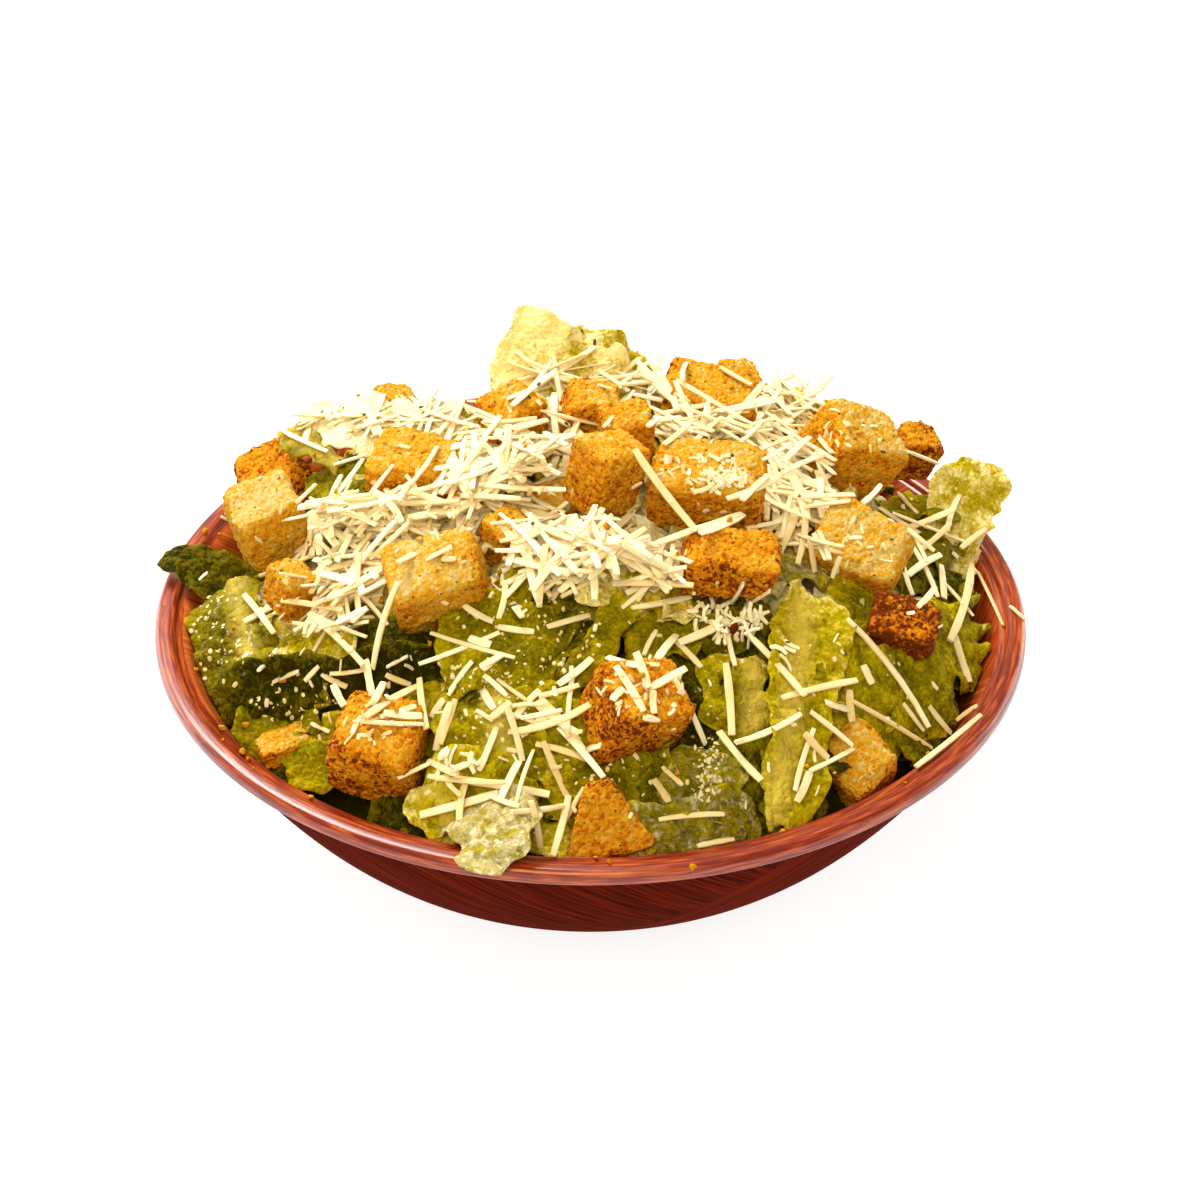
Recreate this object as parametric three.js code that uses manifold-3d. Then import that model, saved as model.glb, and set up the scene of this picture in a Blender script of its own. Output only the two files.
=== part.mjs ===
// A caesar salad in a pressed-wood bowl: torn romaine leaves heaped over the rim, toasted croutons
// set into the heap, and shredded parmesan scattered over all of it.
//
// Millimetres, +Z up. The origin is the centre of the bowl's flat foot.
// +X is to the right and -Y is the side that the salad is served towards.

import * as THREE from 'three';
import { ConvexGeometry } from 'three/addons/geometries/ConvexGeometry.js';
import { mergeVertices } from 'three/addons/utils/BufferGeometryUtils.js';
import Module from 'manifold-3d';

const wasm = await Module();
wasm.setup();

// ---------------------------------------------------------------- driving dimensions

const RIM_RADIUS = 101.5; // outside of the lip
const BOWL_HEIGHT = 54;
const FOOT_RADIUS = 40;
const WALL = 4;
const LIP_WIDTH = 4.8;
const LIP_HEIGHT = 3.6;
const LIP_OVERHANG = 1.4; // how far the lip stands out of the body
const BODY_CURVE = 2.07; // exponent of the body's rise from foot to lip
const BOWL_SEGMENTS = 40;

const GAP = 0.4; // between the heap and the bowl or a crouton

const HEAP_CENTRE = { x: 4, y: 16 };
const HEAP_PEAK = 89; // height of the leaves' skin at the heap's centre
const HEAP_EDGE = 48; // height of the skin where it meets the wall
const HEAP_RADIUS = 95;
const CORE_SEGMENTS = 16;
const CORE_FIT = 0.4; // keeps the core's flats clear of the bowl's
const CORE_DROP = 2; // how far the solid core lies under the skin
const CORE_BUMP = 0.8;

const LEAF_THICKNESS = 1.1;

const CROUTON_SQUARENESS = 7; // exponent of the superellipsoid: 2 is round, 10 is a sharp box
const CROUTON_WARP = 0.14; // how far a corner may wander, as a share of the crouton's size

const SHRED_WIDTH = 2.2;
const SHRED_THICKNESS = 1.3;
const SHRED_LENGTH = { least: 11, most: 24 };
const SHREDS_ON_HEAP = 44;

// Torn leaves. Each runs from one end to the other, in x, y and z. wide is its width where it starts and taper
// the share of it where it ends. roll turns the leaf about its length, bend arches it along its length and cup
// curls it across, all in degrees, and ruffle waves its edge.
const LEAVES = [
  // the crown at the back, and the pale leaves beside it
  { from: [-24, 57, 87], to: [18, 54, 75], wide: 40, taper: 0.35, roll: 78, bend: 8, cup: 14, ruffle: 1.6 },
  { from: [-72, 48, 75], to: [-25, 39, 78], wide: 24, taper: 0.9, roll: 22, bend: 34, cup: -18, ruffle: 0.8 },
  { from: [38, 66, 63], to: [60, 58, 68], wide: 22, taper: 0.8, roll: 60, bend: 14, cup: 10, ruffle: 1.2 },
  // the left side, over and inside the rim
  { from: [-79, 2, 57], to: [-101, 14, 58], wide: 15, taper: 0.6, roll: 0, bend: 14, cup: 20, ruffle: 0.5 },
  { from: [-87, 0, 58], to: [-78, -36, 48], wide: 30, taper: 0.6, roll: 0, bend: 20, cup: -14, ruffle: 0.9 },
  { from: [-73, -31, 56], to: [-54, -34, 72], wide: 26, taper: 0.8, roll: 0, bend: 10, cup: -100, ruffle: 0.5 },
  { from: [-82, -39, 54], to: [-32, -48, 68], wide: 18, taper: 0.9, roll: 40, bend: 20, cup: 22, ruffle: 1 },
  { from: [-56, -38, 64], to: [-31, -42, 71], wide: 18, taper: 0.9, roll: 10, bend: 14, cup: -14, ruffle: 0.8 },
  { from: [-67, -60, 50], to: [-53, -61, 54], wide: 13, taper: 0.8, roll: 10, bend: 10, cup: 10, ruffle: 0.5 },
  { from: [-48, -73, 50], to: [-34, -78, 51], wide: 14, taper: 0.8, roll: 10, bend: 14, cup: -30, ruffle: 0.5 },
  { from: [-36, -76, 58], to: [-28, -85, 50], wide: 14, taper: 0.8, roll: 0, bend: 14, cup: 90, ruffle: 0.5 },
  { from: [-41, -72, 52], to: [-32, -83, 47], wide: 15, taper: 0.8, roll: 0, bend: 14, cup: -30, ruffle: 0.6 },
  { from: [-71, -51, 48], to: [-60, -61, 49], wide: 14, taper: 0.8, roll: 0, bend: 14, cup: -14, ruffle: 0.8 },
  // the front, from left to right
  { from: [-34, -49, 75], to: [-5, -46, 74], wide: 26, taper: 0.9, roll: 6, bend: 30, cup: -24, ruffle: 1.1 },
  { from: [-22, -50, 71], to: [-20, -74, 58], wide: 28, taper: 0.9, roll: 0, bend: 60, cup: -50, ruffle: 1.2 },
  { from: [-13, -63, 66], to: [12, -78, 57], wide: 22, taper: 0.8, roll: 6, bend: 26, cup: -26, ruffle: 0.9 },
  { from: [-36, -74, 59], to: [-11, -81, 55], wide: 20, taper: 0.8, roll: 6, bend: 28, cup: -22, ruffle: 1.3 },
  { from: [-25, -77, 55], to: [-16, -101, 57], wide: 20, taper: 0.9, roll: 0, bend: 50, cup: -16, ruffle: 1.5 },
  { from: [5, -88, 50], to: [36, -79, 53], wide: 18, taper: 0.8, roll: 25, bend: 40, cup: -22, ruffle: 0.8 },
  { from: [24, -71, 64], to: [23, -83, 53], wide: 18, taper: 1, roll: 0, bend: 30, cup: -30, ruffle: 2 },
  { from: [10, -80, 55], to: [20, -74, 61], wide: 12, taper: 0.8, roll: 0, bend: 10, cup: 14, ruffle: 0.8 },
  // the tall pale leaf on the right, and its neighbours
  { from: [50, -27, 75], to: [41, -84, 52], wide: 20, taper: 0.6, roll: 0, bend: 22, cup: 22, ruffle: 1.6 },
  { from: [32, -45, 71], to: [31, -63, 61], wide: 17, taper: 0.9, roll: 0, bend: 14, cup: 14, ruffle: 0.7 },
  { from: [24, -42, 73], to: [40, -37, 75], wide: 10, taper: 0.8, roll: 30, bend: 10, cup: 14, ruffle: 0.8 },
  { from: [54, -49, 62], to: [82, -35, 55], wide: 27, taper: 0.9, roll: 16, bend: 14, cup: -12, ruffle: 0.8 },
  { from: [53, -36, 67], to: [70, -17, 67], wide: 22, taper: 0.9, roll: 0, bend: 14, cup: -12, ruffle: 0.8 },
  { from: [83, -5, 57], to: [87, -27, 48], wide: 17, taper: 0.9, roll: 0, bend: 14, cup: 20, ruffle: 1.7 },
  { from: [82, 14, 54], to: [95, 39, 70], wide: 17, taper: 1.1, roll: -10, bend: 8, cup: 16, ruffle: 1.8 },
  { from: [69, 23, 65], to: [86, 12, 59], wide: 24, taper: 0.9, roll: 10, bend: 20, cup: -20, ruffle: 1.2 },
  { from: [71, 33, 62], to: [88, 25, 64], wide: 18, taper: 0.9, roll: 20, bend: 14, cup: -14, ruffle: 1.2 },
  { from: [67, 0, 66], to: [88, 6, 55], wide: 17, taper: 0.8, roll: 10, bend: 16, cup: -30, ruffle: 1 },
  { from: [38, -78, 51], to: [50, -73, 53], wide: 14, taper: 0.8, roll: 0, bend: 10, cup: -10, ruffle: 0.6 },
  { from: [70, -54, 50], to: [81, -39, 50], wide: 14, taper: 0.8, roll: 0, bend: 10, cup: -10, ruffle: 0.8 },
  { from: [27, -68, 63], to: [37, -76, 54], wide: 15, taper: 0.8, roll: 0, bend: 20, cup: -50, ruffle: 0.8 },
  // the middle, below the croutons
  { from: [-10, -22, 85], to: [4, -39, 76], wide: 19, taper: 0.8, roll: 0, bend: 26, cup: -24, ruffle: 0.9 },
  { from: [8, -39, 82], to: [-4, -55, 70], wide: 9, taper: 0.8, roll: 0, bend: 30, cup: -90, ruffle: 0.2 },
  { from: [-2, -34, 84], to: [24, -34, 77], wide: 16, taper: 0.8, roll: 8, bend: 20, cup: -14, ruffle: 0.8 },
  { from: [-20, -34, 77], to: [-10, -28, 84], wide: 10, taper: 0.8, roll: 0, bend: 60, cup: -30, ruffle: 0.6 },
  { from: [-22, -40, 74], to: [-3, -38, 77], wide: 17, taper: 0.9, roll: 0, bend: 14, cup: 14, ruffle: 0.8 },
  { from: [8, -46, 74], to: [22, -39, 75], wide: 16, taper: 0.9, roll: 0, bend: 14, cup: 14, ruffle: 0.8 },
  { from: [22, -37, 76], to: [38, -28, 75], wide: 18, taper: 0.9, roll: 0, bend: 14, cup: 14, ruffle: 0.8 },
  { from: [46, -38, 64], to: [46, -52, 66], wide: 16, taper: 0.9, roll: 50, bend: 14, cup: 14, ruffle: 0.8 },
  // under the cheese
  { from: [-62, 6, 68], to: [-43, -2, 79], wide: 18, taper: 0.9, roll: 0, bend: 14, cup: 14, ruffle: 1.4 },
  { from: [-62, 36, 70], to: [-53, 12, 74], wide: 17, taper: 0.9, roll: 0, bend: 14, cup: -16, ruffle: 1.3 },
  { from: [-29, 10, 81], to: [-14, 18, 87], wide: 18, taper: 0.9, roll: 0, bend: 14, cup: -16, ruffle: 1.3 },
  { from: [18, 27, 84], to: [36, 34, 78], wide: 20, taper: 0.9, roll: 0, bend: 14, cup: -12, ruffle: 1.4 },
  { from: [34, 13, 82], to: [58, 7, 73], wide: 22, taper: 0.9, roll: 0, bend: 14, cup: -12, ruffle: 1.4 },
  // the far side
  { from: [-26, 56, 70], to: [-36, 79, 55], wide: 24, taper: 0.8, roll: 0, bend: 22, cup: -18, ruffle: 1.4 },
  { from: [2, 60, 74], to: [8, 86, 54], wide: 26, taper: 0.9, roll: 0, bend: 26, cup: -14, ruffle: 1.5 },
  { from: [24, 62, 70], to: [42, 78, 54], wide: 22, taper: 0.9, roll: 0, bend: 20, cup: -20, ruffle: 1.3 },
  { from: [52, 52, 65], to: [72, 56, 52], wide: 22, taper: 0.9, roll: 0, bend: 20, cup: -16, ruffle: 1.5 },
  { from: [-56, 50, 61], to: [-71, 56, 49], wide: 22, taper: 0.8, roll: 0, bend: 24, cup: -18, ruffle: 1.3 },
  { from: [-12, 64, 70], to: [-17, 86, 54], wide: 24, taper: 0.9, roll: 0, bend: 22, cup: -18, ruffle: 1.4 },
  { from: [-44, 58, 66], to: [-56, 71, 52], wide: 22, taper: 0.9, roll: 0, bend: 20, cup: -16, ruffle: 1.2 },
  { from: [46, 60, 66], to: [59, 71, 52], wide: 22, taper: 0.9, roll: 0, bend: 22, cup: -14, ruffle: 1.4 },
];

// Croutons: the middle in x, y and z, the size along each edge, and the turns about X, Y and Z in degrees.
// shreds is how many strips of cheese lie on top. pinch narrows a wedge-shaped one towards its own +Y end.
const CROUTONS = [
  { at: [-48, 54, 74], size: [9.5, 9, 13.5], turn: [10, 6, 30], shreds: 0 },
  { at: [-77, 40, 64], size: [20.5, 18, 10], turn: [8, -13, 20], shreds: 0, pinch: 0.3 },
  { at: [-76, 14, 67.5], size: [17, 15.5, 19.5], turn: [12, -11, 24], shreds: 1 },
  { at: [-68, -20, 71], size: [9, 10.5, 11], turn: [7, 9, 40], shreds: 0 },
  { at: [-40.5, 12, 84], size: [21.5, 18, 11.5], turn: [10, 4, -14], shreds: 1 },
  { at: [-18.5, 27, 88], size: [13.5, 13.5, 14.5], turn: [14, -16, 34], shreds: 0 },
  { at: [-0.5, 33, 86.5], size: [13, 11.5, 12.5], turn: [9, 11, 10], shreds: 2 },
  { at: [3.5, -7, 94.5], size: [16, 14, 17.5], turn: [12, 9, 36], shreds: 0 },
  { at: [-7, 1, 79.5], size: [10.5, 10.5, 11.5], turn: [9, -7, 16], shreds: 2 },
  { at: [-19.5, -13, 81], size: [10, 9.5, 12], turn: [15, -6, 40], shreds: 1 },
  { at: [-33.5, -33, 82.5], size: [22, 18.5, 18], turn: [23, -14, 8], shreds: 2 },
  { at: [26.5, -5, 90], size: [25.5, 17.5, 13.5], turn: [14, 3, -6], shreds: 3 },
  { at: [29, 46, 82], size: [23, 17, 11.5], turn: [9, 8, -8], shreds: 1 },
  { at: [36, 65, 75], size: [9.5, 9.5, 12], turn: [10, 7, 30], shreds: 0 },
  { at: [8.5, 16.5, 91], size: [11.5, 11, 13], turn: [8, -6, 20], shreds: 3 },
  { at: [62.5, 33, 77], size: [20, 17, 16.5], turn: [25, 23, 20], shreds: 1 },
  { at: [78.5, 49, 66.5], size: [12, 11, 11.5], turn: [12, 17, 10], shreds: 0, pinch: 0.35 },
  { at: [61.5, -9, 74.5], size: [22, 17.5, 14.5], turn: [26, 12, -22], shreds: 1 },
  { at: [31, -29, 85], size: [22, 13.5, 10.5], turn: [8, 3, -4], shreds: 0 },
  { at: [70, -31, 69], size: [15.5, 11, 10], turn: [23, 6, -20], shreds: 0 },
  { at: [9.5, -65, 70.5], size: [20, 18, 18], turn: [22, 9, 24], shreds: 3 },
  { at: [-46, -65, 60.5], size: [19.5, 18.5, 16], turn: [19, 2, -12], shreds: 3 },
  { at: [-67.5, -52.5, 52], size: [12, 8.5, 5.5], turn: [6, -9, 20], shreds: 0 },
  { at: [3, -83.5, 54.5], size: [23, 16.5, 8.5], turn: [54, -13, 4], shreds: 0, pinch: 0.75 },
  { at: [58, -58, 50], size: [15, 15.5, 15.5], turn: [30, -21, 36], shreds: 1 },
  { at: [-12, 66, 78], size: [19, 17, 15], turn: [-18, 12, 24], shreds: 0 },
];

// ---------------------------------------------------------------- small helpers

const radians = THREE.MathUtils.degToRad;
const lerp = THREE.MathUtils.lerp;

// A repeatable draw from 0 to 1 for a numbered piece and a numbered use.
function draw(seed, use) {
  const wave = Math.sin(seed * 12.9898 + use * 78.233) * 43758.5453;
  return wave - Math.floor(wave);
}

function toSolid(geometry) {
  const bare = geometry.clone();
  bare.deleteAttribute('normal');
  bare.deleteAttribute('uv');
  const merged = mergeVertices(bare, 1e-4);
  return new wasm.Manifold(new wasm.Mesh({
    numProp: 3,
    vertProperties: new Float32Array(merged.attributes.position.array),
    triVerts: new Uint32Array(merged.index.array),
  }));
}

function toGeometry(solid) {
  const mesh = solid.getMesh();
  const geometry = new THREE.BufferGeometry();
  geometry.setAttribute('position', new THREE.BufferAttribute(mesh.vertProperties, 3));
  geometry.setIndex(new THREE.BufferAttribute(mesh.triVerts, 1));
  geometry.computeVertexNormals();
  return geometry;
}

function joined(solids) {
  return solids.reduce((whole, solid) => whole.add(solid));
}

// The biggest of the bodies that a cut has left.
function biggest(solid) {
  return solid.decompose().reduce((best, body) => (body.volume() > best.volume() ? body : best));
}

// ---------------------------------------------------------------- the bowl

// The body's outside, from the foot (share 0) to the rim (share 1), moved inwards along its normal.
function bodyPoint(share, inset = 0) {
  const spread = RIM_RADIUS - LIP_OVERHANG - FOOT_RADIUS;
  const slope = (BOWL_HEIGHT * BODY_CURVE * share ** (BODY_CURVE - 1)) / spread;
  const length = Math.hypot(1, slope);
  return new THREE.Vector2(
    FOOT_RADIUS + spread * share - (inset * slope) / length,
    BOWL_HEIGHT * share ** BODY_CURVE + inset / length,
  );
}

// A closed outline of the bowl, swollen by `grow` on every side.
function bowlProfile(grow) {
  const steps = 5;
  const outsideTop = 0.966;
  const insideTop = 0.975;
  const outline = [new THREE.Vector2(0, -grow)];
  for (let i = 0; i <= steps; i++) outline.push(bodyPoint((outsideTop * i) / steps, -grow));
  const lipOut = RIM_RADIUS + grow;
  const lipIn = RIM_RADIUS - LIP_WIDTH - grow;
  const lipTop = BOWL_HEIGHT + grow;
  const lipFoot = BOWL_HEIGHT - LIP_HEIGHT - grow;
  outline.push(new THREE.Vector2(lipOut - 0.3, lipFoot));
  outline.push(new THREE.Vector2(lipOut, lipFoot + 0.9));
  outline.push(new THREE.Vector2(lipOut, lipTop - 1.3));
  outline.push(new THREE.Vector2(lipOut - 1.3, lipTop));
  outline.push(new THREE.Vector2(lipIn + 1.3, lipTop));
  outline.push(new THREE.Vector2(lipIn, lipTop - 1.3));
  for (let i = steps; i >= 0; i--) outline.push(bodyPoint((insideTop * i) / steps, WALL + grow));
  outline.push(new THREE.Vector2(0, WALL + grow));
  return outline;
}

// Turns a profile of (radius, height) round the +Z axis.
function turned(profile, segments) {
  return new THREE.LatheGeometry(profile, segments).rotateX(Math.PI / 2);
}

// ---------------------------------------------------------------- the heap's skin and core

// The height of the leaves' skin over a point in plan.
function skin(x, y) {
  const dx = x - HEAP_CENTRE.x;
  const dy = y - HEAP_CENTRE.y;
  const away = Math.hypot(dx, dy) + 1e-6;
  const along = (HEAP_CENTRE.x * dx + HEAP_CENTRE.y * dy) / away;
  const outside = HEAP_RADIUS ** 2 - HEAP_CENTRE.x ** 2 - HEAP_CENTRE.y ** 2;
  const wall = Math.sqrt(along ** 2 + outside) - along;
  const share = Math.min(away / wall, 1.15);
  return lerp(HEAP_PEAK, HEAP_EDGE, share ** 2);
}

function skinNormal(x, y) {
  const step = 1;
  const slopeX = (skin(x + step, y) - skin(x - step, y)) / (2 * step);
  const slopeY = (skin(x, y + step) - skin(x, y - step)) / (2 * step);
  return new THREE.Vector3(-slopeX, -slopeY, 1).normalize();
}

// The top of the packed leaves inside the heap.
function coreTop(x, y) {
  return skin(x, y) - CORE_DROP + CORE_BUMP * Math.sin(x / 7 + 1) * Math.cos(y / 6);
}

// The packed leaves inside, from the bowl's floor to just under the skin.
function coreGeometry() {
  const steps = 4;
  const rings = 5;
  const top = 0.9;
  const inset = WALL + GAP + CORE_FIT;
  const profile = [new THREE.Vector2(0, inset)];
  for (let i = 0; i <= steps; i++) profile.push(bodyPoint((top * i) / steps, inset));
  const edge = profile[profile.length - 1].x;
  const firstOnTop = profile.length;
  for (let i = rings - 1; i >= 0; i--) profile.push(new THREE.Vector2(edge * Math.sqrt(i / rings), 0));
  const geometry = turned(profile, CORE_SEGMENTS);
  const place = geometry.attributes.position;
  for (let i = 0; i < place.count; i++) {
    if (i % profile.length < firstOnTop) continue;
    place.setZ(i, coreTop(place.getX(i), place.getY(i)));
  }
  return geometry;
}

// ---------------------------------------------------------------- leaves

function leafLength(leaf) {
  return new THREE.Vector3(...leaf.from).distanceTo(new THREE.Vector3(...leaf.to));
}

// A point of a leaf's middle surface on its own axes: along 0 to 1, across -1 to 1, ends at height 0.
function leafPoint(leaf, seed, along, across) {
  const long = leafLength(leaf);
  const end = Math.abs(2 * along - 1);
  const round = Math.sqrt(1 - 0.82 * end ** 5);
  const torn = 1 + 0.14 * Math.sin(9 * along + 6.28 * draw(seed, 1) + across);
  const half = (leaf.wide / 2) * lerp(1, leaf.taper, along) * round * torn;
  const reach = (along - 0.5) * long * (1 - 0.1 * across ** 2 * Math.cos(5 * draw(seed, 2)));
  const side = across * half;
  const bend = radians(leaf.bend) / long;
  const cup = radians(leaf.cup) / leaf.wide;
  const waves = 2 + 2 * draw(seed, 3);
  const wave = Math.sin(6.28 * (waves * along + draw(seed, 4)) + 2 * Math.sign(across));
  const arch = (Math.cos(reach * bend) - Math.cos((long / 2) * bend)) / bend;
  const curl = (1 - Math.cos(side * cup)) / cup;
  return new THREE.Vector3(
    Math.sin(reach * bend) / bend,
    Math.sin(side * cup) / cup,
    arch + curl + leaf.ruffle * across ** 2 * wave,
  );
}

// The way that a leaf's face points, at the same place.
function leafNormal(leaf, seed, along, across) {
  const nudge = 1e-3;
  const ahead = leafPoint(leaf, seed, along + nudge, across).sub(leafPoint(leaf, seed, along - nudge, across));
  const aside = leafPoint(leaf, seed, along, across + nudge).sub(leafPoint(leaf, seed, along, across - nudge));
  return ahead.cross(aside).normalize();
}

// A leaf's own axes on the heap: along, across, and out of the heap's skin.
function leafFrame(leaf) {
  const from = new THREE.Vector3(...leaf.from);
  const to = new THREE.Vector3(...leaf.to);
  const middle = from.clone().lerp(to, 0.5);
  const along = to.sub(from).normalize();
  const across = skinNormal(middle.x, middle.y).cross(along).normalize();
  across.applyAxisAngle(along, radians(leaf.roll));
  return new THREE.Matrix4().makeBasis(along, across, along.clone().cross(across)).setPosition(middle);
}

// A thin wavy solid: the middle surface moved half its thickness each way, both faces split alike.
function leafGeometry(leaf, seed) {
  const stepsAlong = Math.max(3, Math.round(leafLength(leaf) / 9));
  const stepsAcross = leaf.wide > 25 ? 4 : 2;
  const points = [];
  for (const side of [0.5, -0.5]) {
    for (let i = 0; i <= stepsAlong; i++) {
      for (let j = 0; j <= stepsAcross; j++) {
        const place = [i / stepsAlong, (2 * j) / stepsAcross - 1];
        const out = leafNormal(leaf, seed, ...place).multiplyScalar(side * LEAF_THICKNESS);
        points.push(...leafPoint(leaf, seed, ...place).add(out).toArray());
      }
    }
  }
  const row = stepsAcross + 1;
  const sheet = (stepsAlong + 1) * row;
  const faces = [];
  const quad = (a, b, c, d) => faces.push(a, b, c, a, c, d);
  for (let i = 0; i < stepsAlong; i++) {
    for (let j = 0; j < stepsAcross; j++) {
      const a = i * row + j;
      quad(a, a + row, a + row + 1, a + 1);
      quad(sheet + a + 1, sheet + a + row + 1, sheet + a + row, sheet + a);
    }
    const left = i * row;
    const right = left + stepsAcross;
    quad(left, sheet + left, sheet + left + row, left + row);
    quad(right + row, sheet + right + row, sheet + right, right);
  }
  for (let j = 0; j < stepsAcross; j++) {
    const tip = stepsAlong * row + j;
    quad(j + 1, sheet + j + 1, sheet + j, j);
    quad(tip, sheet + tip, sheet + tip + 1, tip + 1);
  }
  const geometry = new THREE.BufferGeometry();
  geometry.setAttribute('position', new THREE.Float32BufferAttribute(points, 3));
  geometry.setIndex(faces);
  return geometry.applyMatrix4(leafFrame(leaf));
}

// ---------------------------------------------------------------- croutons

const CORNERS = [-1, 1].flatMap((x) => [-1, 1].flatMap((y) => [-1, 1].map((z) => new THREE.Vector3(x, y, z))));

// Takes a point of a box from -1 to 1 to its place between the eight wandering corners of a crouton.
function intoCrouton(crouton, seed, point) {
  const moved = new THREE.Vector3();
  CORNERS.forEach((corner, i) => {
    const weight = (1 + point.x * corner.x) * (1 + point.y * corner.y) * (1 + point.z * corner.z) / 8;
    const shrink = [0, 1, 2].map((axis) => 1 + 2 * CROUTON_WARP * (draw(seed, 3 * i + axis) - 0.6));
    moved.addScaledVector(corner.clone().multiply(new THREE.Vector3(...shrink)), weight);
  });
  moved.x *= 1 - (crouton.pinch ?? 0) * (1 + point.y) / 2;
  return moved.multiply(new THREE.Vector3(...crouton.size)).divideScalar(2);
}

function croutonFrame(crouton) {
  const [turnX, turnY, turnZ] = crouton.turn.map(radians);
  const turn = new THREE.Euler(turnX, turnY, turnZ, 'ZYX');
  return new THREE.Matrix4().makeRotationFromEuler(turn).setPosition(...crouton.at);
}

// A toasted bread cube: a box with rounded edges whose corners have wandered.
function croutonGeometry(crouton, seed) {
  const steps = 3;
  const geometry = new THREE.BoxGeometry(2, 2, 2, steps, steps, steps);
  const place = geometry.attributes.position;
  const point = new THREE.Vector3();
  for (let i = 0; i < place.count; i++) {
    point.fromBufferAttribute(place, i);
    point.set(...point.toArray().map((part) => (Math.abs(part) < 0.9 ? 1.9 * part : part)));
    const powers = point.toArray().map((part) => Math.abs(part) ** CROUTON_SQUARENESS);
    point.divideScalar((powers[0] + powers[1] + powers[2]) ** (1 / CROUTON_SQUARENESS));
    place.setXYZ(i, ...intoCrouton(crouton, seed, point).toArray());
  }
  return geometry.applyMatrix4(croutonFrame(crouton));
}

// The plain block of space that a crouton needs round it.
function croutonSpaceGeometry(crouton, seed) {
  const corners = CORNERS.map((corner) => intoCrouton(crouton, seed, corner).addScaledVector(corner, GAP));
  return new ConvexGeometry(corners).applyMatrix4(croutonFrame(crouton));
}

// ---------------------------------------------------------------- shreds of cheese

// A caster that drops points straight down on to a solid, and gives the height where each lands.
function dropper(geometry) {
  const mesh = new THREE.Mesh(geometry);
  const caster = new THREE.Raycaster();
  const down = new THREE.Vector3(0, 0, -1);
  const above = 200;
  return (x, y) => {
    caster.set(new THREE.Vector3(x, y, above), down);
    const [landing] = caster.intersectObject(mesh);
    return landing ? landing.point.z : undefined;
  };
}

// One strip that lies on a surface: its middle, its heading, its length, and the surface's dropper.
function shredOn(drop, x, y, heading, long) {
  const reach = new THREE.Vector3(Math.cos(heading), Math.sin(heading), 0).multiplyScalar(long * 0.42);
  const heights = [-1, 0, 1].map((end) => drop(x + end * reach.x, y + end * reach.y));
  if (heights.includes(undefined)) return undefined;
  const [low, middle, high] = heights;
  const steepest = long * 0.35;
  const sag = middle - (low + high) / 2;
  const straightEnough = 1.6;
  if (Math.abs(high - low) > steepest || Math.abs(sag) > straightEnough) return undefined;
  const along = reach.clone().setZ((high - low) / 2).normalize();
  const across = new THREE.Vector3(0, 0, 1).cross(along).normalize();
  const frame = new THREE.Matrix4().makeBasis(along, across, along.clone().cross(across));
  const proud = 0.2 * SHRED_THICKNESS;
  frame.setPosition(x, y, (low + high) / 2 + sag / 3 + proud);
  return new THREE.BoxGeometry(long, SHRED_WIDTH, SHRED_THICKNESS).applyMatrix4(frame);
}

function shredLength(seed) {
  return lerp(SHRED_LENGTH.least, SHRED_LENGTH.most, draw(seed, 7));
}

// Strips spread over the heap along a sunflower spiral, each turned by its own draw, clear of `obstacles`.
function shredsOnHeap(drop, obstacles) {
  const goldenAngle = Math.PI * (3 - Math.sqrt(5));
  const spread = 88;
  const tries = 2.4 * SHREDS_ON_HEAP;
  const shreds = [];
  for (let i = 0; i < tries && shreds.length < SHREDS_ON_HEAP; i++) {
    const away = spread * Math.sqrt((i + 0.5) / tries) ** 1.3;
    const x = HEAP_CENTRE.x + away * Math.cos(i * goldenAngle);
    const y = HEAP_CENTRE.y + away * Math.sin(i * goldenAngle) * 0.94 - 6;
    const strip = shredOn(drop, x, y, 2 * Math.PI * draw(i, 6), shredLength(i));
    if (!strip) continue;
    const solid = toSolid(strip);
    if (obstacles.intersect(solid).volume() === 0) shreds.push(solid);
  }
  return shreds;
}

// ---------------------------------------------------------------- the solids, fitted to each other

const bowlSolid = toSolid(turned(bowlProfile(0), BOWL_SEGMENTS));
const bowlSpace = toSolid(turned(bowlProfile(GAP), BOWL_SEGMENTS));
const croutonSpaces = CROUTONS.map((crouton, i) => toSolid(croutonSpaceGeometry(crouton, i)));
const obstacles = joined([bowlSpace, ...croutonSpaces]);

function heapSolid() {
  const leaves = LEAVES.map((leaf, i) => toSolid(leafGeometry(leaf, i)));
  const leafy = biggest(joined([toSolid(coreGeometry()), ...leaves]).subtract(obstacles));
  const drop = dropper(toGeometry(joined([leafy, ...croutonSpaces])));
  return biggest(joined([leafy, ...shredsOnHeap(drop, obstacles)]));
}

// A crouton with its own strips of cheese, which keep clear of everything else.
function croutonSolid(i, heap) {
  const crouton = CROUTONS[i];
  let solid = toSolid(croutonGeometry(crouton, i));
  const drop = dropper(toGeometry(solid));
  const others = joined([heap, ...croutonSpaces.filter((_, other) => other !== i)]);
  for (let k = 0; k < crouton.shreds; k++) {
    const seed = 50 * (i + 1) + k;
    const x = crouton.at[0] + (draw(seed, 1) - 0.5) * 0.5 * crouton.size[0];
    const y = crouton.at[1] + (draw(seed, 2) - 0.5) * 0.5 * crouton.size[1];
    const strip = shredOn(drop, x, y, Math.PI * draw(seed, 3), 0.55 * shredLength(seed));
    if (!strip) continue;
    const shred = toSolid(strip);
    if (others.intersect(shred).volume() === 0) solid = solid.add(shred);
  }
  return solid;
}

// ---------------------------------------------------------------- the scene

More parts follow.
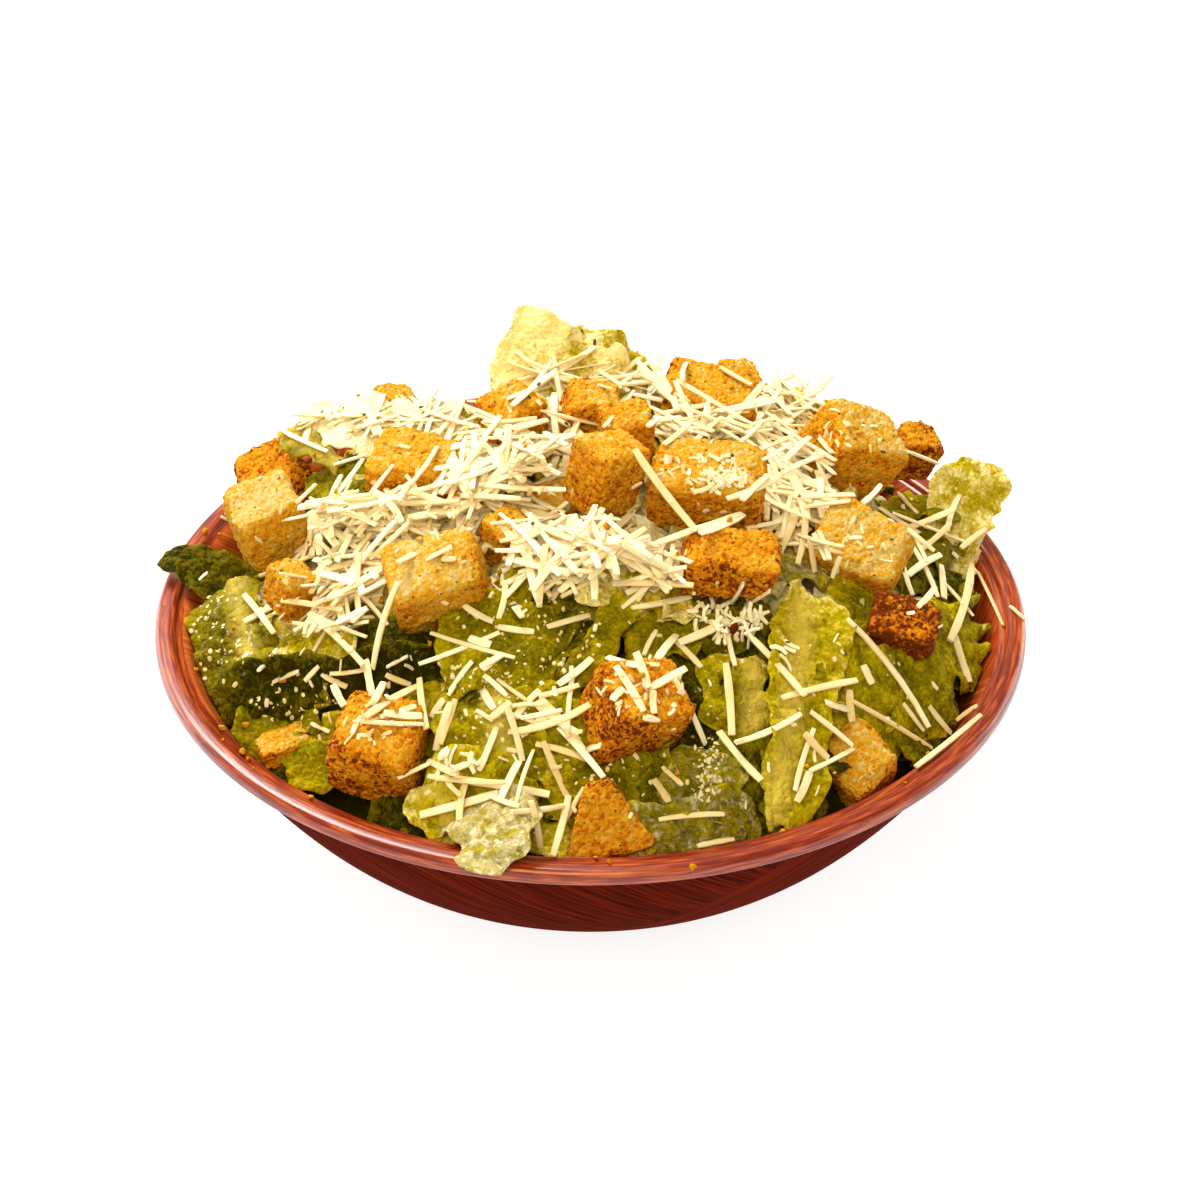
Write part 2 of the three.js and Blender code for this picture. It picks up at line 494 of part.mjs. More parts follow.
const lacqueredWood = new THREE.MeshStandardMaterial({ color: 0x9c3a1c, roughness: 0.25, metalness: 0 });
const romaine = new THREE.MeshStandardMaterial({ color: 0x8a9a2e, roughness: 0.45, metalness: 0 });
const toast = new THREE.MeshStandardMaterial({ color: 0xd9962b, roughness: 0.85, metalness: 0 });

function node(name, solid, material) {
  const mesh = new THREE.Mesh(toGeometry(solid), material);
  mesh.name = name;
  return mesh;
}

const salad = new THREE.Group();
const heap = heapSolid();
salad.add(node('bowl', bowlSolid, lacqueredWood));
salad.add(node('romaine_heap', heap, romaine));
CROUTONS.forEach((_, i) => {
  salad.add(node(`crouton_${String(i + 1).padStart(2, '0')}`, croutonSolid(i, heap), toast));
});

export default salad;
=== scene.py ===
"""A caesar salad in a pressed-wood bowl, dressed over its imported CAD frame.

The lists hold millimetres in the part's own frame: +Z up out of the bowl's flat foot, +X to the right and -Y towards
the side that is served.
"""
import math
from collections import namedtuple

import bpy
import numpy as np
from mathutils import Euler, Matrix, Vector, noise
from mathutils.bvhtree import BVHTree


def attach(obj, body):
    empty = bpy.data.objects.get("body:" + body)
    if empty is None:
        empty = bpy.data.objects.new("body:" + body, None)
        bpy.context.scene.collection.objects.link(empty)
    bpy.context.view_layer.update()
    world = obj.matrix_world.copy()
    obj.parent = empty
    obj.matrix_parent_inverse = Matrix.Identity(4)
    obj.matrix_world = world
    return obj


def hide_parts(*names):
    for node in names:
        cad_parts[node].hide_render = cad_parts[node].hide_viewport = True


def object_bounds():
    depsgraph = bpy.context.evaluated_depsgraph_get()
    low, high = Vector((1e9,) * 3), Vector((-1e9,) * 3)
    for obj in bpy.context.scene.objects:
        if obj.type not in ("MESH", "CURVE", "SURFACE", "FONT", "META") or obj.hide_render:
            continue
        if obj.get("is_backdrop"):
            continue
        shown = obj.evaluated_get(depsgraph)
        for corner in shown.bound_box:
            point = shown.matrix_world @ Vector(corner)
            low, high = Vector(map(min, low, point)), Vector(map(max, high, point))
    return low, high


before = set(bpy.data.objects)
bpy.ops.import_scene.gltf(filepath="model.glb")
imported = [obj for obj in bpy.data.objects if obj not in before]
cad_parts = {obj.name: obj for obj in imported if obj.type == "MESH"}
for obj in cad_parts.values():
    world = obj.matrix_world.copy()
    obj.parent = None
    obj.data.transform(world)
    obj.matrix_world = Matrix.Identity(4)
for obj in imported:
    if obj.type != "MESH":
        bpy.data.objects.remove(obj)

CAD_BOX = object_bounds()

bl_info = {
    "name": "Caesar salad bowl",
    "version": (1, 0, 0),
    "blender": (4, 5, 0),
    "location": "3D View > Sidebar > Salad",
    "description": "Dresses a caesar salad in a pressed-wood bowl over its CAD frame",
    "category": "Object",
}

MM = 0.001

# ---------------------------------------------------------------- sizes shared with the part's source

RIM_RADIUS = 101.5
LIP_OVERHANG = 1.4
BODY_CURVE = 2.07
HEAP_CENTRE = (4, 16)
HEAP_PEAK = 89
HEAP_EDGE = 48
HEAP_RADIUS = 95
CROUTON_SQUARENESS = 7
CROUTON_WARP = 0.14

Leaf = namedtuple("Leaf", "start end wide taper roll bend cup ruffle tone dressed rib", defaults=[None])

# roll, bend and cup are in degrees. tone runs from about 0, the cream heart, to 1, the darkest outer leaf. dressed is
# how much dressing clings to the leaf: from 1 up it is coated, and below 0 it stays clear. rib is where the midrib
# crosses the leaf, from -1 to 1, and a leaf without that number shows no midrib.
LEAVES = [
    # the crown at the back, and the pale leaves beside it
    Leaf((-24, 57, 87), (18, 54, 75), 40, 0.35, 78, 8, 14, 1.6, 0.1, 0.2),
    Leaf((-72, 46.5, 74.5), (-25, 37.5, 77), 24, 0.9, 20, 34, -18, 0.9, -0.15, 1.4, 0.2),
    Leaf((38, 66, 63), (60, 58, 68), 22, 0.8, 60, 14, 10, 1.2, 0.36, 0),
    # the left side, over and inside the rim
    Leaf((-79, 2, 57), (-101, 14, 58), 15, 0.6, 0, 14, 20, 0.5, 0.92, 0.1),
    Leaf((-87, 0, 58), (-78, -36, 48), 30, 0.6, 0, 20, -14, 0.9, 0.76, 0.3, 0.35),
    # painted light: this leaf's tone is set paler than its own, to lift the shade on its face
    Leaf((-73, -31, 56), (-54, -34, 72), 26, 0.8, 0, 10, -100, 0.5, 0.36, 0),
    Leaf((-82, -39, 54), (-32, -48, 68), 18, 0.9, 40, 20, 22, 1, 1.0, 0.15),
    Leaf((-56, -38, 64), (-31, -42, 71), 18, 0.9, 10, 14, -14, 0.8, 0.95, 0.1),
    Leaf((-67, -60, 50), (-53, -61, 54), 13, 0.8, 10, 10, 10, 0.5, 0.6, 0),
    Leaf((-48, -73, 50), (-34, -78, 51), 14, 0.8, 10, 14, -30, 0.5, 0.95, 0.1),
    Leaf((-36, -76, 58), (-28, -85, 50), 14, 0.8, 0, 14, 90, 0.5, 0.42, 0.1, 0),
    Leaf((-41, -72, 52), (-32, -83, 47), 15, 0.8, 0, 14, -30, 0.6, 0.72, 0),
    Leaf((-71, -51, 48), (-60, -61, 49), 14, 0.8, 0, 14, -14, 0.8, 0.92, 0.1),
    # the front, from left to right
    Leaf((-34, -49, 75), (-5, -46, 74), 26, 0.9, 6, 30, -24, 1.1, 0.64, 0.05),
    Leaf((-22, -50, 71), (-20, -74, 58), 28, 0.9, 0, 60, -50, 1.2, 0.6, 0.2, 0.1),
    Leaf((-13, -63, 66), (12, -78, 57), 22, 0.8, 6, 26, -26, 0.9, 0.66, 0.15),
    Leaf((-36, -74, 59), (-11, -81, 55), 20, 0.8, 6, 28, -22, 1.3, 0.54, 0.15),
    Leaf((-25, -77, 55), (-16, -101, 57), 20, 0.9, 0, 50, -16, 1.5, 0.4, 0.75),
    Leaf((5, -88, 50), (36, -79, 53), 18, 0.8, 25, 40, -22, 0.8, 0.64, 0.5),
    Leaf((24, -71, 64), (23, -83, 53), 18, 1, 0, 30, -30, 2, 0.7, 0.5),
    Leaf((10, -80, 55), (20, -74, 61), 12, 0.8, 0, 10, 14, 0.8, 0.85, 0.1),
    # the tall pale leaf on the right, and its neighbours
    Leaf((50, -27, 75), (41, -84, 52), 20, 0.6, 0, 22, 22, 1.6, 0.5, 0.1, -0.25),
    Leaf((32, -45, 71), (31, -63, 61), 17, 0.9, 0, 14, 14, 0.7, 0.56, 0.1, 0.5),
    Leaf((24, -42, 73), (40, -37, 75), 10, 0.8, 30, 10, 14, 0.8, 0.85, 0.2),
    Leaf((54, -49, 62), (82, -35, 55), 27, 0.9, 16, 14, -12, 0.8, 0.58, -0.2),
    Leaf((53, -36, 67), (70, -17, 67), 22, 0.9, 0, 14, -12, 0.8, 0.55, 0.1),
    Leaf((83, -5, 57), (87, -27, 48), 17, 0.9, 0, 14, 20, 1.7, 0.6, 0),
    Leaf((82, 14, 54), (95, 39, 70), 17, 1.1, -10, 8, 16, 1.8, 0.28, 0.1),
    Leaf((69, 23, 65), (86, 12, 59), 24, 0.9, 10, 20, -20, 1.2, 0.72, 0.3),
    Leaf((71, 33, 62), (88, 25, 64), 18, 0.9, 20, 14, -14, 1.2, 0.66, 0.2),
    Leaf((67, 0, 66), (88, 6, 55), 17, 0.8, 10, 16, -30, 1, 0.88, 0.1),
    Leaf((38, -78, 51), (50, -73, 53), 14, 0.8, 0, 10, -10, 0.6, 0.9, 0),
    Leaf((70, -54, 50), (81, -39, 50), 14, 0.8, 0, 10, -10, 0.8, 0.88, 0),
    Leaf((27, -68, 63), (37, -76, 54), 15, 0.8, 0, 20, -50, 0.8, 0.88, 0.2),
    # the middle, below the croutons
    Leaf((-10, -22, 85), (4, -39, 76), 19, 0.8, 0, 26, -24, 0.9, 0.7, 0.3),
    Leaf((8, -39, 82), (-4, -55, 70), 9, 0.8, 0, 30, -70, 0.5, 0.6, 0.1),
    Leaf((-2, -34, 84), (24, -34, 77), 16, 0.8, 8, 20, -14, 0.8, 0.3, 0.3),
    Leaf((-20, -34, 77), (-10, -28, 84), 10, 0.8, 0, 60, -30, 0.6, 0.6, 0.1),
    Leaf((-22, -40, 74), (-3, -38, 77), 17, 0.9, 0, 14, 14, 0.8, 0.72, 0.1),
    Leaf((8, -46, 74), (22, -39, 75), 16, 0.9, 0, 14, 14, 0.8, 0.66, 0.1),
    Leaf((22, -37, 76), (38, -28, 75), 18, 0.9, 0, 14, 14, 0.8, 0.7, 0.1),
    Leaf((46, -38, 64), (46, -52, 66), 16, 0.9, 50, 14, 14, 0.8, 0.8, 0.1),
    # under the cheese
    Leaf((-62, 6, 68), (-43, -2, 79), 18, 0.9, 0, 14, 14, 1.4, 0.75, 0.5),
    Leaf((-62, 36, 70), (-53, 12, 74), 17, 0.9, 0, 14, -16, 1.3, 0.72, 0.2),
    Leaf((-29, 10, 81), (-14, 18, 87), 18, 0.9, 0, 14, -16, 1.3, 0.5, 0.8),
    Leaf((18, 27, 84), (36, 34, 78), 20, 0.9, 0, 14, -12, 1.4, 0.5, 0.8),
    Leaf((34, 13, 82), (58, 7, 73), 22, 0.9, 0, 14, -12, 1.4, 0.5, 0.8),
    # the far side
    Leaf((-26, 56, 70), (-36, 79, 55), 24, 0.8, 0, 22, -18, 1.4, 0.6, 0.2, 0.2),
    Leaf((2, 60, 74), (8, 86, 54), 26, 0.9, 0, 26, -14, 1.5, 0.42, 0.1, -0.1),
    Leaf((24, 62, 70), (42, 78, 54), 22, 0.9, 0, 20, -20, 1.3, 0.7, 0.3),
    Leaf((52, 52, 65), (72, 56, 52), 22, 0.9, 0, 20, -16, 1.5, 0.55, 0.1),
    Leaf((-56, 50, 61), (-71, 56, 49), 22, 0.8, 0, 24, -18, 1.3, 0.78, 0.2),
    Leaf((-12, 64, 70), (-17, 86, 54), 24, 0.9, 0, 22, -18, 1.4, 0.8, 0.1, 0),
    Leaf((-44, 58, 66), (-56, 71, 52), 22, 0.9, 0, 20, -16, 1.2, 0.4, 0.2),
    Leaf((46, 60, 66), (59, 71, 52), 22, 0.9, 0, 22, -14, 1.4, 0.85, 0.1),
    # a green fold below the cream leaf at the upper left
    Leaf((-73, 42, 75), (-60, 28, 74), 8, 0.7, 0, 20, 30, 1.2, 0.7, 0.4, 0.1),
    # the yellow-green side of the crown
    Leaf((-8, 58.5, 88), (15, 57, 77.5), 25, 0.62, 78, 8, 14, 1.8, 0.36, -0.6),
]

Crouton = namedtuple("Crouton", "at size turn brown pinch", defaults=[0.0])

# turn is in degrees. brown runs from about -0.2, barely toasted, over 0.3, golden, to 1.3, the darkest cube of the
# batch. pinch narrows a wedge-shaped one towards its own +Y end.
CROUTONS = [
    Crouton((-48, 54, 74), (9.5, 9, 13.5), (10, 6, 30), 0.35),
    Crouton((-77, 40, 64), (20.5, 18, 10), (8, -13, 20), 0.8, 0.3),
    Crouton((-76, 14, 67.5), (17, 15.5, 19.5), (12, -11, 24), -0.22),
    Crouton((-68, -20, 71), (9, 10.5, 11), (7, 9, 40), 0.15),
    Crouton((-40.5, 12, 84), (21.5, 18, 11.5), (10, 4, -14), 0.3),
    Crouton((-18.5, 27, 88), (13.5, 13.5, 14.5), (14, -16, 34), 0.4),
    Crouton((-0.5, 33, 86.5), (13, 11.5, 12.5), (9, 11, 10), 0.35),
    Crouton((3.5, -7, 94.5), (16, 14, 17.5), (12, 9, 36), 0.3),
    Crouton((-7, 1, 79.5), (10.5, 10.5, 11.5), (9, -7, 16), 0.25),
    Crouton((-19.5, -13, 81), (10, 9.5, 12), (15, -6, 40), 0.3),
    Crouton((-33.5, -33, 82.5), (22, 18.5, 18), (23, -14, 8), 0.02),
    Crouton((26.5, -5, 90), (25.5, 17.5, 13.5), (14, 3, -6), 0.33),
    Crouton((29, 46, 82), (23, 17, 11.5), (9, 8, -8), 0.5),
    Crouton((36, 65, 75), (9.5, 9.5, 12), (10, 7, 30), 0.3),
    Crouton((8.5, 16.5, 91), (11.5, 11, 13), (8, -6, 20), 0.35),
    Crouton((62.5, 33, 77), (20, 17, 16.5), (25, 23, 20), 0.15),
    Crouton((78.5, 49, 66.5), (12, 11, 11.5), (12, 17, 10), 0.75, 0.35),
    Crouton((61.5, -9, 74.5), (22, 17.5, 14.5), (26, 12, -22), 0.06),
    Crouton((31, -29, 85), (22, 13.5, 10.5), (8, 3, -4), 0.7),
    Crouton((70, -31, 69), (15.5, 11, 10), (23, 6, -20), 1.3),
    Crouton((9.5, -65, 70.5), (20, 18, 18), (22, 9, 24), 0.65),
    Crouton((-46, -65, 60.5), (19.5, 18.5, 16), (19, 2, -12), 0.62),
    Crouton((-67.5, -52.5, 52), (12, 8.5, 5.5), (6, -9, 20), 0.35),
    Crouton((3, -83.5, 54.5), (23, 16.5, 8.5), (54, -13, 4), 0.56, 0.75),
    Crouton((58, -58, 50), (15, 15.5, 15.5), (30, -21, 36), 0.25),
    Crouton((-12, 66, 78), (19, 17, 15), (-18, 12, 24), 0.35),
]


# ---------------------------------------------------------------- colours and settings


def linear(code):
    """An sRGB hex value as linear red, green, blue and alpha."""
    parts = [int(code[i:i + 2], 16) / 255 for i in (1, 3, 5)]
    return [p / 12.92 if p <= 0.04045 else ((p + 0.055) / 1.055) ** 2.4 for p in parts] + [1.0]


def number(name, description, value, kind=bpy.props.FloatProperty, **more):
    return kind(name=name, description=description, default=value, **more)


def length(name, description, millimetres):
    return number(name, description, millimetres * MM, unit="LENGTH", subtype="DISTANCE")


def colour(name, description, code):
    vector = bpy.props.FloatVectorProperty
    return number(name, description, linear(code), vector, size=4, min=0, max=1, subtype="COLOR")


def amount(name, description, value):
    return number(name, description, value, bpy.props.IntProperty, min=0)


class BowlSettings(bpy.types.PropertyGroup):
    rim_radius: length("Rim radius", "Outside of the lip", RIM_RADIUS)
    height: length("Height", "From the table to the top of the lip", 54)
    foot_radius: length("Foot radius", "Flat part that the bowl stands on", 40)
    wall: length("Wall", "Thickness of the pressed veneers", 4)
    lip_width: length("Lip width", "Width of the rounded lip", 4.8)
    lip_height: length("Lip height", "Height of the lip above its groove", 3.6)
    # painted shade: the outside's two tones are darker than the inside's, though it is the same veneer, to stand in
    # for the shade on the outside
    pale_veneer_painted_shade: colour("Pale veneer", "Lightest streak of the stained wood", "#741F04")
    deep_veneer_painted_shade: colour("Deep veneer", "Main tone of the stained wood", "#3C0800")
    pale_inside: colour("Pale inside", "Lightest streak inside the bowl", "#C26A30")
    deep_inside: colour("Deep inside", "Main tone inside the bowl", "#8A300E")
    pale_lip: colour("Pale lip", "Lightest streak of the lip", "#BC5614")
    deep_lip: colour("Deep lip", "Main tone of the lip", "#7C1D06")
    seam: colour("Seam", "Glue line between two veneers", "#2E0A02")


class LeafSettings(bpy.types.PropertyGroup):
    thickness: length("Thickness", "Blade of a leaf", 0.8)
    cell: length("Mesh size", "Distance between the points of a leaf", 0.72)
    scraps: amount("Scraps", "Small torn pieces low in the heap", 160)
    heart: colour("Heart", "Cream leaf from the heart", "#FAECA8")
    pale: colour("Pale", "Yellow-green leaf", "#BAA60C")
    green: colour("Green", "Middle green leaf", "#7A7004")
    dark: colour("Dark", "Outer leaf", "#2A2802")
    midrib: colour("Midrib", "Pale green midrib", "#CCB64E")
    dressing: colour("Dressing", "Creamy dressing that clings to the leaves", "#EEE5C2")
    thin_dressing: colour("Thin dressing", "Dressing where a drop runs thin", "#E4CC86")


class BreadSettings(bpy.types.PropertyGroup):
    steps: amount("Mesh steps", "Faces along one side of a cube", 32)
    crumbs: amount("Crumbs", "Loose crumbs on the leaves", 180)
    herbs: amount("Herbs", "Flakes of dried herb and pepper", 90)
    soft: colour("Soft crumb", "Untoasted crumb", "#FCDE90")
    crumb: colour("Crumb", "Barely toasted crumb", "#FAC84A")
    golden: colour("Golden", "Golden toast", "#FFB01A")
    brown: colour("Brown", "Well toasted side", "#DE7E0E")
    scorched: colour("Scorched", "Darkest edges", "#80340A")
    fleck: colour("Fleck", "Herbs baked into the crust", "#4A3A10")
    pale_herb: colour("Pale herb", "Lightest dried flake", "#5A5212")
    deep_herb: colour("Deep herb", "Darkest dried flake", "#2C2606")


class CheeseSettings(bpy.types.PropertyGroup):
    width: length("Width", "Width of a shred", 1.65)
    thickness: length("Thickness", "Thickness of a shred", 0.65)
    least: length("Shortest", "Shortest shred", 7)
    most: length("Longest", "Longest shred", 21)
    cover: number("Cover", "Share of the usual number of shreds", 1.6, min=0)
    unseen: amount("Far side", "Shreds scattered over the far side", 260)
    ends: amount("Ends", "Broken ends of shreds on the far side", 120)
    pale: colour("Pale", "Fresh cut cheese", "#F7ECCC")
    deep: colour("Deep", "Shaded side of the cheese", "#E2CC98")


class StageSettings(bpy.types.PropertyGroup):
    distance: length("Distance", "From the middle of the rim to the camera", 812)
    elevation: number("Elevation", "Camera above the horizon", math.radians(33.7), subtype="ANGLE")
    lens: number("Lens", "Focal length in millimetres on a 36 mm sensor", 104.1)
    key_power: number("Key light", "Power of the soft light behind the bowl", 15.5, unit="POWER")
    fill_power: number("Fill light", "Power of the warm light in front", 11.5, unit="POWER")
    side_power: number("Side lights", "Power of each light beside the bowl", 9, unit="POWER")
    daylight: number("Daylight", "Strength of the pale room", 0.42)
    floor: colour("Floor", "Plain pale floor", "#9CA0AC")
    floor_glow: number("Floor glow", "Light through the paper floor", 0.85)


# ---------------------------------------------------------------- shaping helpers


def draw(seed, use):
    """A repeatable draw from 0 to 1 for a numbered piece and a numbered use."""
    wave = math.sin(seed * 12.9898 + use * 78.233) * 43758.5453
    return wave - math.floor(wave)


def unit(vectors):
    return vectors / np.linalg.norm(vectors, axis=-1, keepdims=True)


def noise_over(places, size, shift=0.0):
    """Smooth noise from about -1 to 1 at each place, with lumps of one size in millimetres."""
    flat = places.reshape(-1, 3) / size + shift
    return np.array([noise.noise(Vector(place)) for place in flat]).reshape(places.shape[:-1])


def quads_of(index):
    """The square faces between the neighbours in a grid of point numbers."""
    return np.stack([index[:-1, :-1], index[1:, :-1], index[1:, 1:], index[:-1, 1:]], -1).reshape(-1, 4)


def grid_faces(rows, columns):
    return quads_of(np.arange(rows * columns).reshape(rows, columns))


def sheet_out(middle):
    """The way each point of a grid faces."""
    return unit(np.cross(np.gradient(middle, axis=0), np.gradient(middle, axis=1)))


def thin_solid(middle, thickness):
    """A closed solid round a grid of points: half the thickness each way, with the edges joined."""
    rows, columns = middle.shape[:2]
    count = rows * columns
    half = sheet_out(middle) * thickness[..., None] / 2
    top = grid_faces(rows, columns)
    loop = np.concatenate([
        np.arange(columns - 1),
        np.arange(rows - 1) * columns + columns - 1,
        count - 1 - np.arange(columns - 1),
        (rows - 1 - np.arange(rows - 1)) * columns,
    ])
    ahead = np.roll(loop, -1)
    edge = np.stack([loop, ahead, ahead + count, loop + count], axis=1)
    points = np.concatenate([(middle + half).reshape(-1, 3), (middle - half).reshape(-1, 3)])
    return points, [top, top[:, ::-1] + count, edge]


class Piece:
    """Gathers points in millimetres, faces and values of the points, and makes one piece of them."""

    def __init__(self):
        self.points, self.faces, self.kinds, self.values, self.count = [], [], [], {}, 0

    def add(self, points, faces, kind=0, **values):
        points = np.asarray(points, float).reshape(-1, 3)
        self.points.append(points)
        for block in faces:
            self.faces.append(np.asarray(block) + self.count)
            self.kinds.append(np.full(len(block), kind))
        for name, value in values.items():
            self.values.setdefault(name, []).append(np.broadcast_to(value, len(points)))
        self.count += len(points)

    def make(self, name, materials, slot, replaced, sharp=None):
        """Makes the mesh object, which rides on the frame's only body."""
        mesh = bpy.data.meshes.new(name)
        corners = np.concatenate([block.ravel() for block in self.faces])
        sides = np.concatenate([np.full(len(block), block.shape[1]) for block in self.faces])
        mesh.vertices.add(self.count)
        mesh.vertices.foreach_set("co", (np.concatenate(self.points) * MM).ravel())
        mesh.loops.add(len(corners))
        mesh.loops.foreach_set("vertex_index", corners)
        mesh.polygons.add(len(sides))
        mesh.polygons.foreach_set("loop_start", np.concatenate([[0], np.cumsum(sides)[:-1]]))
        mesh.polygons.foreach_set("material_index", np.concatenate(self.kinds))
        mesh.update(calc_edges=True)
        for value_name, blocks in self.values.items():
            attribute = mesh.attributes.new(value_name, "FLOAT", "POINT")
            attribute.data.foreach_set("value", np.concatenate(blocks).astype(np.float32))
        for material in materials:
            mesh.materials.append(material)
        mesh.shade_smooth()
        if sharp is not None:
            mesh.set_sharp_from_angle(angle=math.radians(sharp))
        thing = bpy.data.objects.new(name, mesh)
        bpy.context.scene.collection.objects.link(thing)
        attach(thing, "root")
        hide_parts(*replaced)


# ---------------------------------------------------------------- material helpers


def add_node(tree, kind, inputs=None, out=0, stops=None, **settings):
    """Adds a node with its settings, its links and the stops of its ramp, and gives back one of its outputs."""
    node = tree.nodes.new("ShaderNode" + kind)
    for key, value in settings.items():
        setattr(node, key, value)
    for key, value in (inputs or {}).items():
        if isinstance(value, bpy.types.NodeSocket):
            tree.links.new(value, node.inputs[key])
        else:
            node.inputs[key].default_value = value
    if stops:
        elements = node.color_ramp.elements
        while len(elements) < len(stops):
            elements.new(0.5)
        for element, (place, tint) in zip(elements, stops):
            element.position, element.color = place, tint
    return node.outputs[out] if node.outputs else None


def new_material(name):
    """An empty material and its node tree."""
    material = bpy.data.materials.new(name)
    material.use_nodes = True
    material.node_tree.nodes.clear()
    return material, material.node_tree


# ---------------------------------------------------------------- the bowl


def body_point(bowl, share, inset):
    """The body's outside from foot (share 0) to rim (share 1), moved inwards along its normal."""
    height, foot = bowl.height / MM, bowl.foot_radius / MM
    spread = bowl.rim_radius / MM - LIP_OVERHANG - foot
    slope = height * BODY_CURVE * share ** (BODY_CURVE - 1) / spread
    reach = math.hypot(1, slope)
    return foot + spread * share - inset * slope / reach, height * share ** BODY_CURVE + inset / reach


def round_corner(corner, before, after, steps=6):
    """Points of a curve that rounds a corner between two points."""
    corner, before, after = (np.array(p, float) for p in (corner, before, after))
    shares = np.linspace(0, 1, steps)[:, None]
    return list((1 - shares) ** 2 * before + 2 * shares * (1 - shares) * corner + shares ** 2 * after)


# Veneers to a turn, how many of them a line from the middle to the rim crosses, and how wide a fibre of the lip is.
VENEERS = 9
SWEEP = 2.6
LIP_FIBRE = 0.6


def veneer_material(name, pale, deep, seam_tint, round_lip=False):
    """Pressed wood: thin veneers crossed in a mould, stained red-brown and sealed under a glossy lacquer.

    It gives the eye streaky grain that changes tone from one curved veneer to the next, thin dark glue lines, and
    clear soft highlights on the lip.
    """
    material, tree = new_material(name)
    place = add_node(tree, "TexCoord", out="Object")
    parts = add_node(tree, "SeparateXYZ", {0: place}).node.outputs
    angle = add_node(tree, "Math", {0: parts[1], 1: parts[0]}, operation="ARCTAN2")
    plan = add_node(tree, "VectorMath", {0: place, 1: (1, 1, 0)}, operation="MULTIPLY")
    radius = add_node(tree, "VectorMath", {0: plan}, out="Value", operation="LENGTH")
    if round_lip:
        # the lip's strip runs round the rim, with fibres about 9 mm long
        spread = ((angle, 11.0), (radius, 1 / (LIP_FIBRE * MM)), (parts[2], 1 / (LIP_FIBRE * MM)))
        scaled = [add_node(tree, "Math", {0: part, 1: scale}, operation="MULTIPLY") for part, scale in spread]
        fibres = add_node(tree, "CombineXYZ", dict(enumerate(scaled)))
        tone = add_node(tree, "TexNoise", {"Vector": fibres, "Scale": 0.35, "Detail": 2})
        seam = None
    else:
        # two families of veneers sweep round the bowl in opposite ways
        turns = add_node(tree, "Math", {0: angle, 1: VENEERS / (2 * math.pi)}, operation="MULTIPLY")
        sweep = add_node(tree, "Math", {0: radius, 1: SWEEP / (RIM_RADIUS * MM)}, operation="MULTIPLY")
        strips = [add_node(tree, "Math", {0: turns, 1: sweep}, operation=way) for way in ("ADD", "SUBTRACT")]
        tones, edges = [], []
        for family, strip in enumerate(strips):
            cell = add_node(tree, "Math", {0: strip}, operation="FLOOR")
            # the pattern meets itself where the angle jumps by a whole turn
            cell = add_node(tree, "Math", {0: cell, 1: VENEERS}, operation="FLOORED_MODULO")
            key = add_node(tree, "CombineXYZ", {0: cell, 1: float(family)})
            tones.append(add_node(tree, "TexWhiteNoise", {"Vector": key}, out="Value"))
            edges.append(add_node(tree, "Math", {0: strip, 1: 0.5}, operation="PINGPONG"))
        on_top = add_node(tree, "Math", {0: tones[0], 1: tones[1]}, operation="GREATER_THAN")
        # each place shows the veneer of the family that lies on top there
        tone, edge, across, along = [
            add_node(tree, "Mix", {0: on_top, 2: below, 3: above}, data_type="FLOAT")
            for below, above in (tones[::-1], edges[::-1], strips[::-1], strips)
        ]
        # a glue line is about 0.3 mm wide on a veneer of some 60 mm
        seam = add_node(tree, "MapRange", {0: edge, 1: 0.006, 2: 0.0, 4: 0.75})
        # fibres 0.7 mm across and some 25 mm long
        across = add_node(tree, "Math", {0: across, 1: 80.0}, operation="MULTIPLY")
        along = add_node(tree, "Math", {0: along, 1: 2.4}, operation="MULTIPLY")
        fibres = add_node(tree, "CombineXYZ", {0: across, 1: along, 2: tone})
    grain = add_node(tree, "TexNoise", {"Vector": fibres, "Scale": 1.0, "Detail": 4})
    blend = add_node(tree, "Math", {0: tone, 1: 0.4, 2: grain}, operation="MULTIPLY_ADD")
    darkest, middle, lightest = (0.45, 0.66, 0.9) if round_lip else (0.3, 0.62, 1.0)
    stain = add_node(tree, "ValToRGB", {0: blend}, stops=[
        (darkest, [0.6 * part for part in deep[:3]] + [1]), (middle, deep), (lightest, pale),
    ])
    if seam:
        stain = add_node(tree, "Mix", {0: seam, 6: stain, 7: seam_tint}, out=2, data_type="RGBA")
    relief = add_node(tree, "Bump", {"Height": grain, "Strength": 0.4, "Distance": 0.1 * MM})
    shader = add_node(tree, "BsdfPrincipled", {
        "Base Color": stain, "Normal": relief, "Roughness": 0.34, "IOR": 1.5,
        "Specular IOR Level": 0.25 if round_lip else 0.0,
        "Coat Weight": 0.7 if round_lip else 0.02, "Coat Roughness": 0.2, "Coat Normal": relief,
    })
    add_node(tree, "OutputMaterial", {0: shader})
    return material


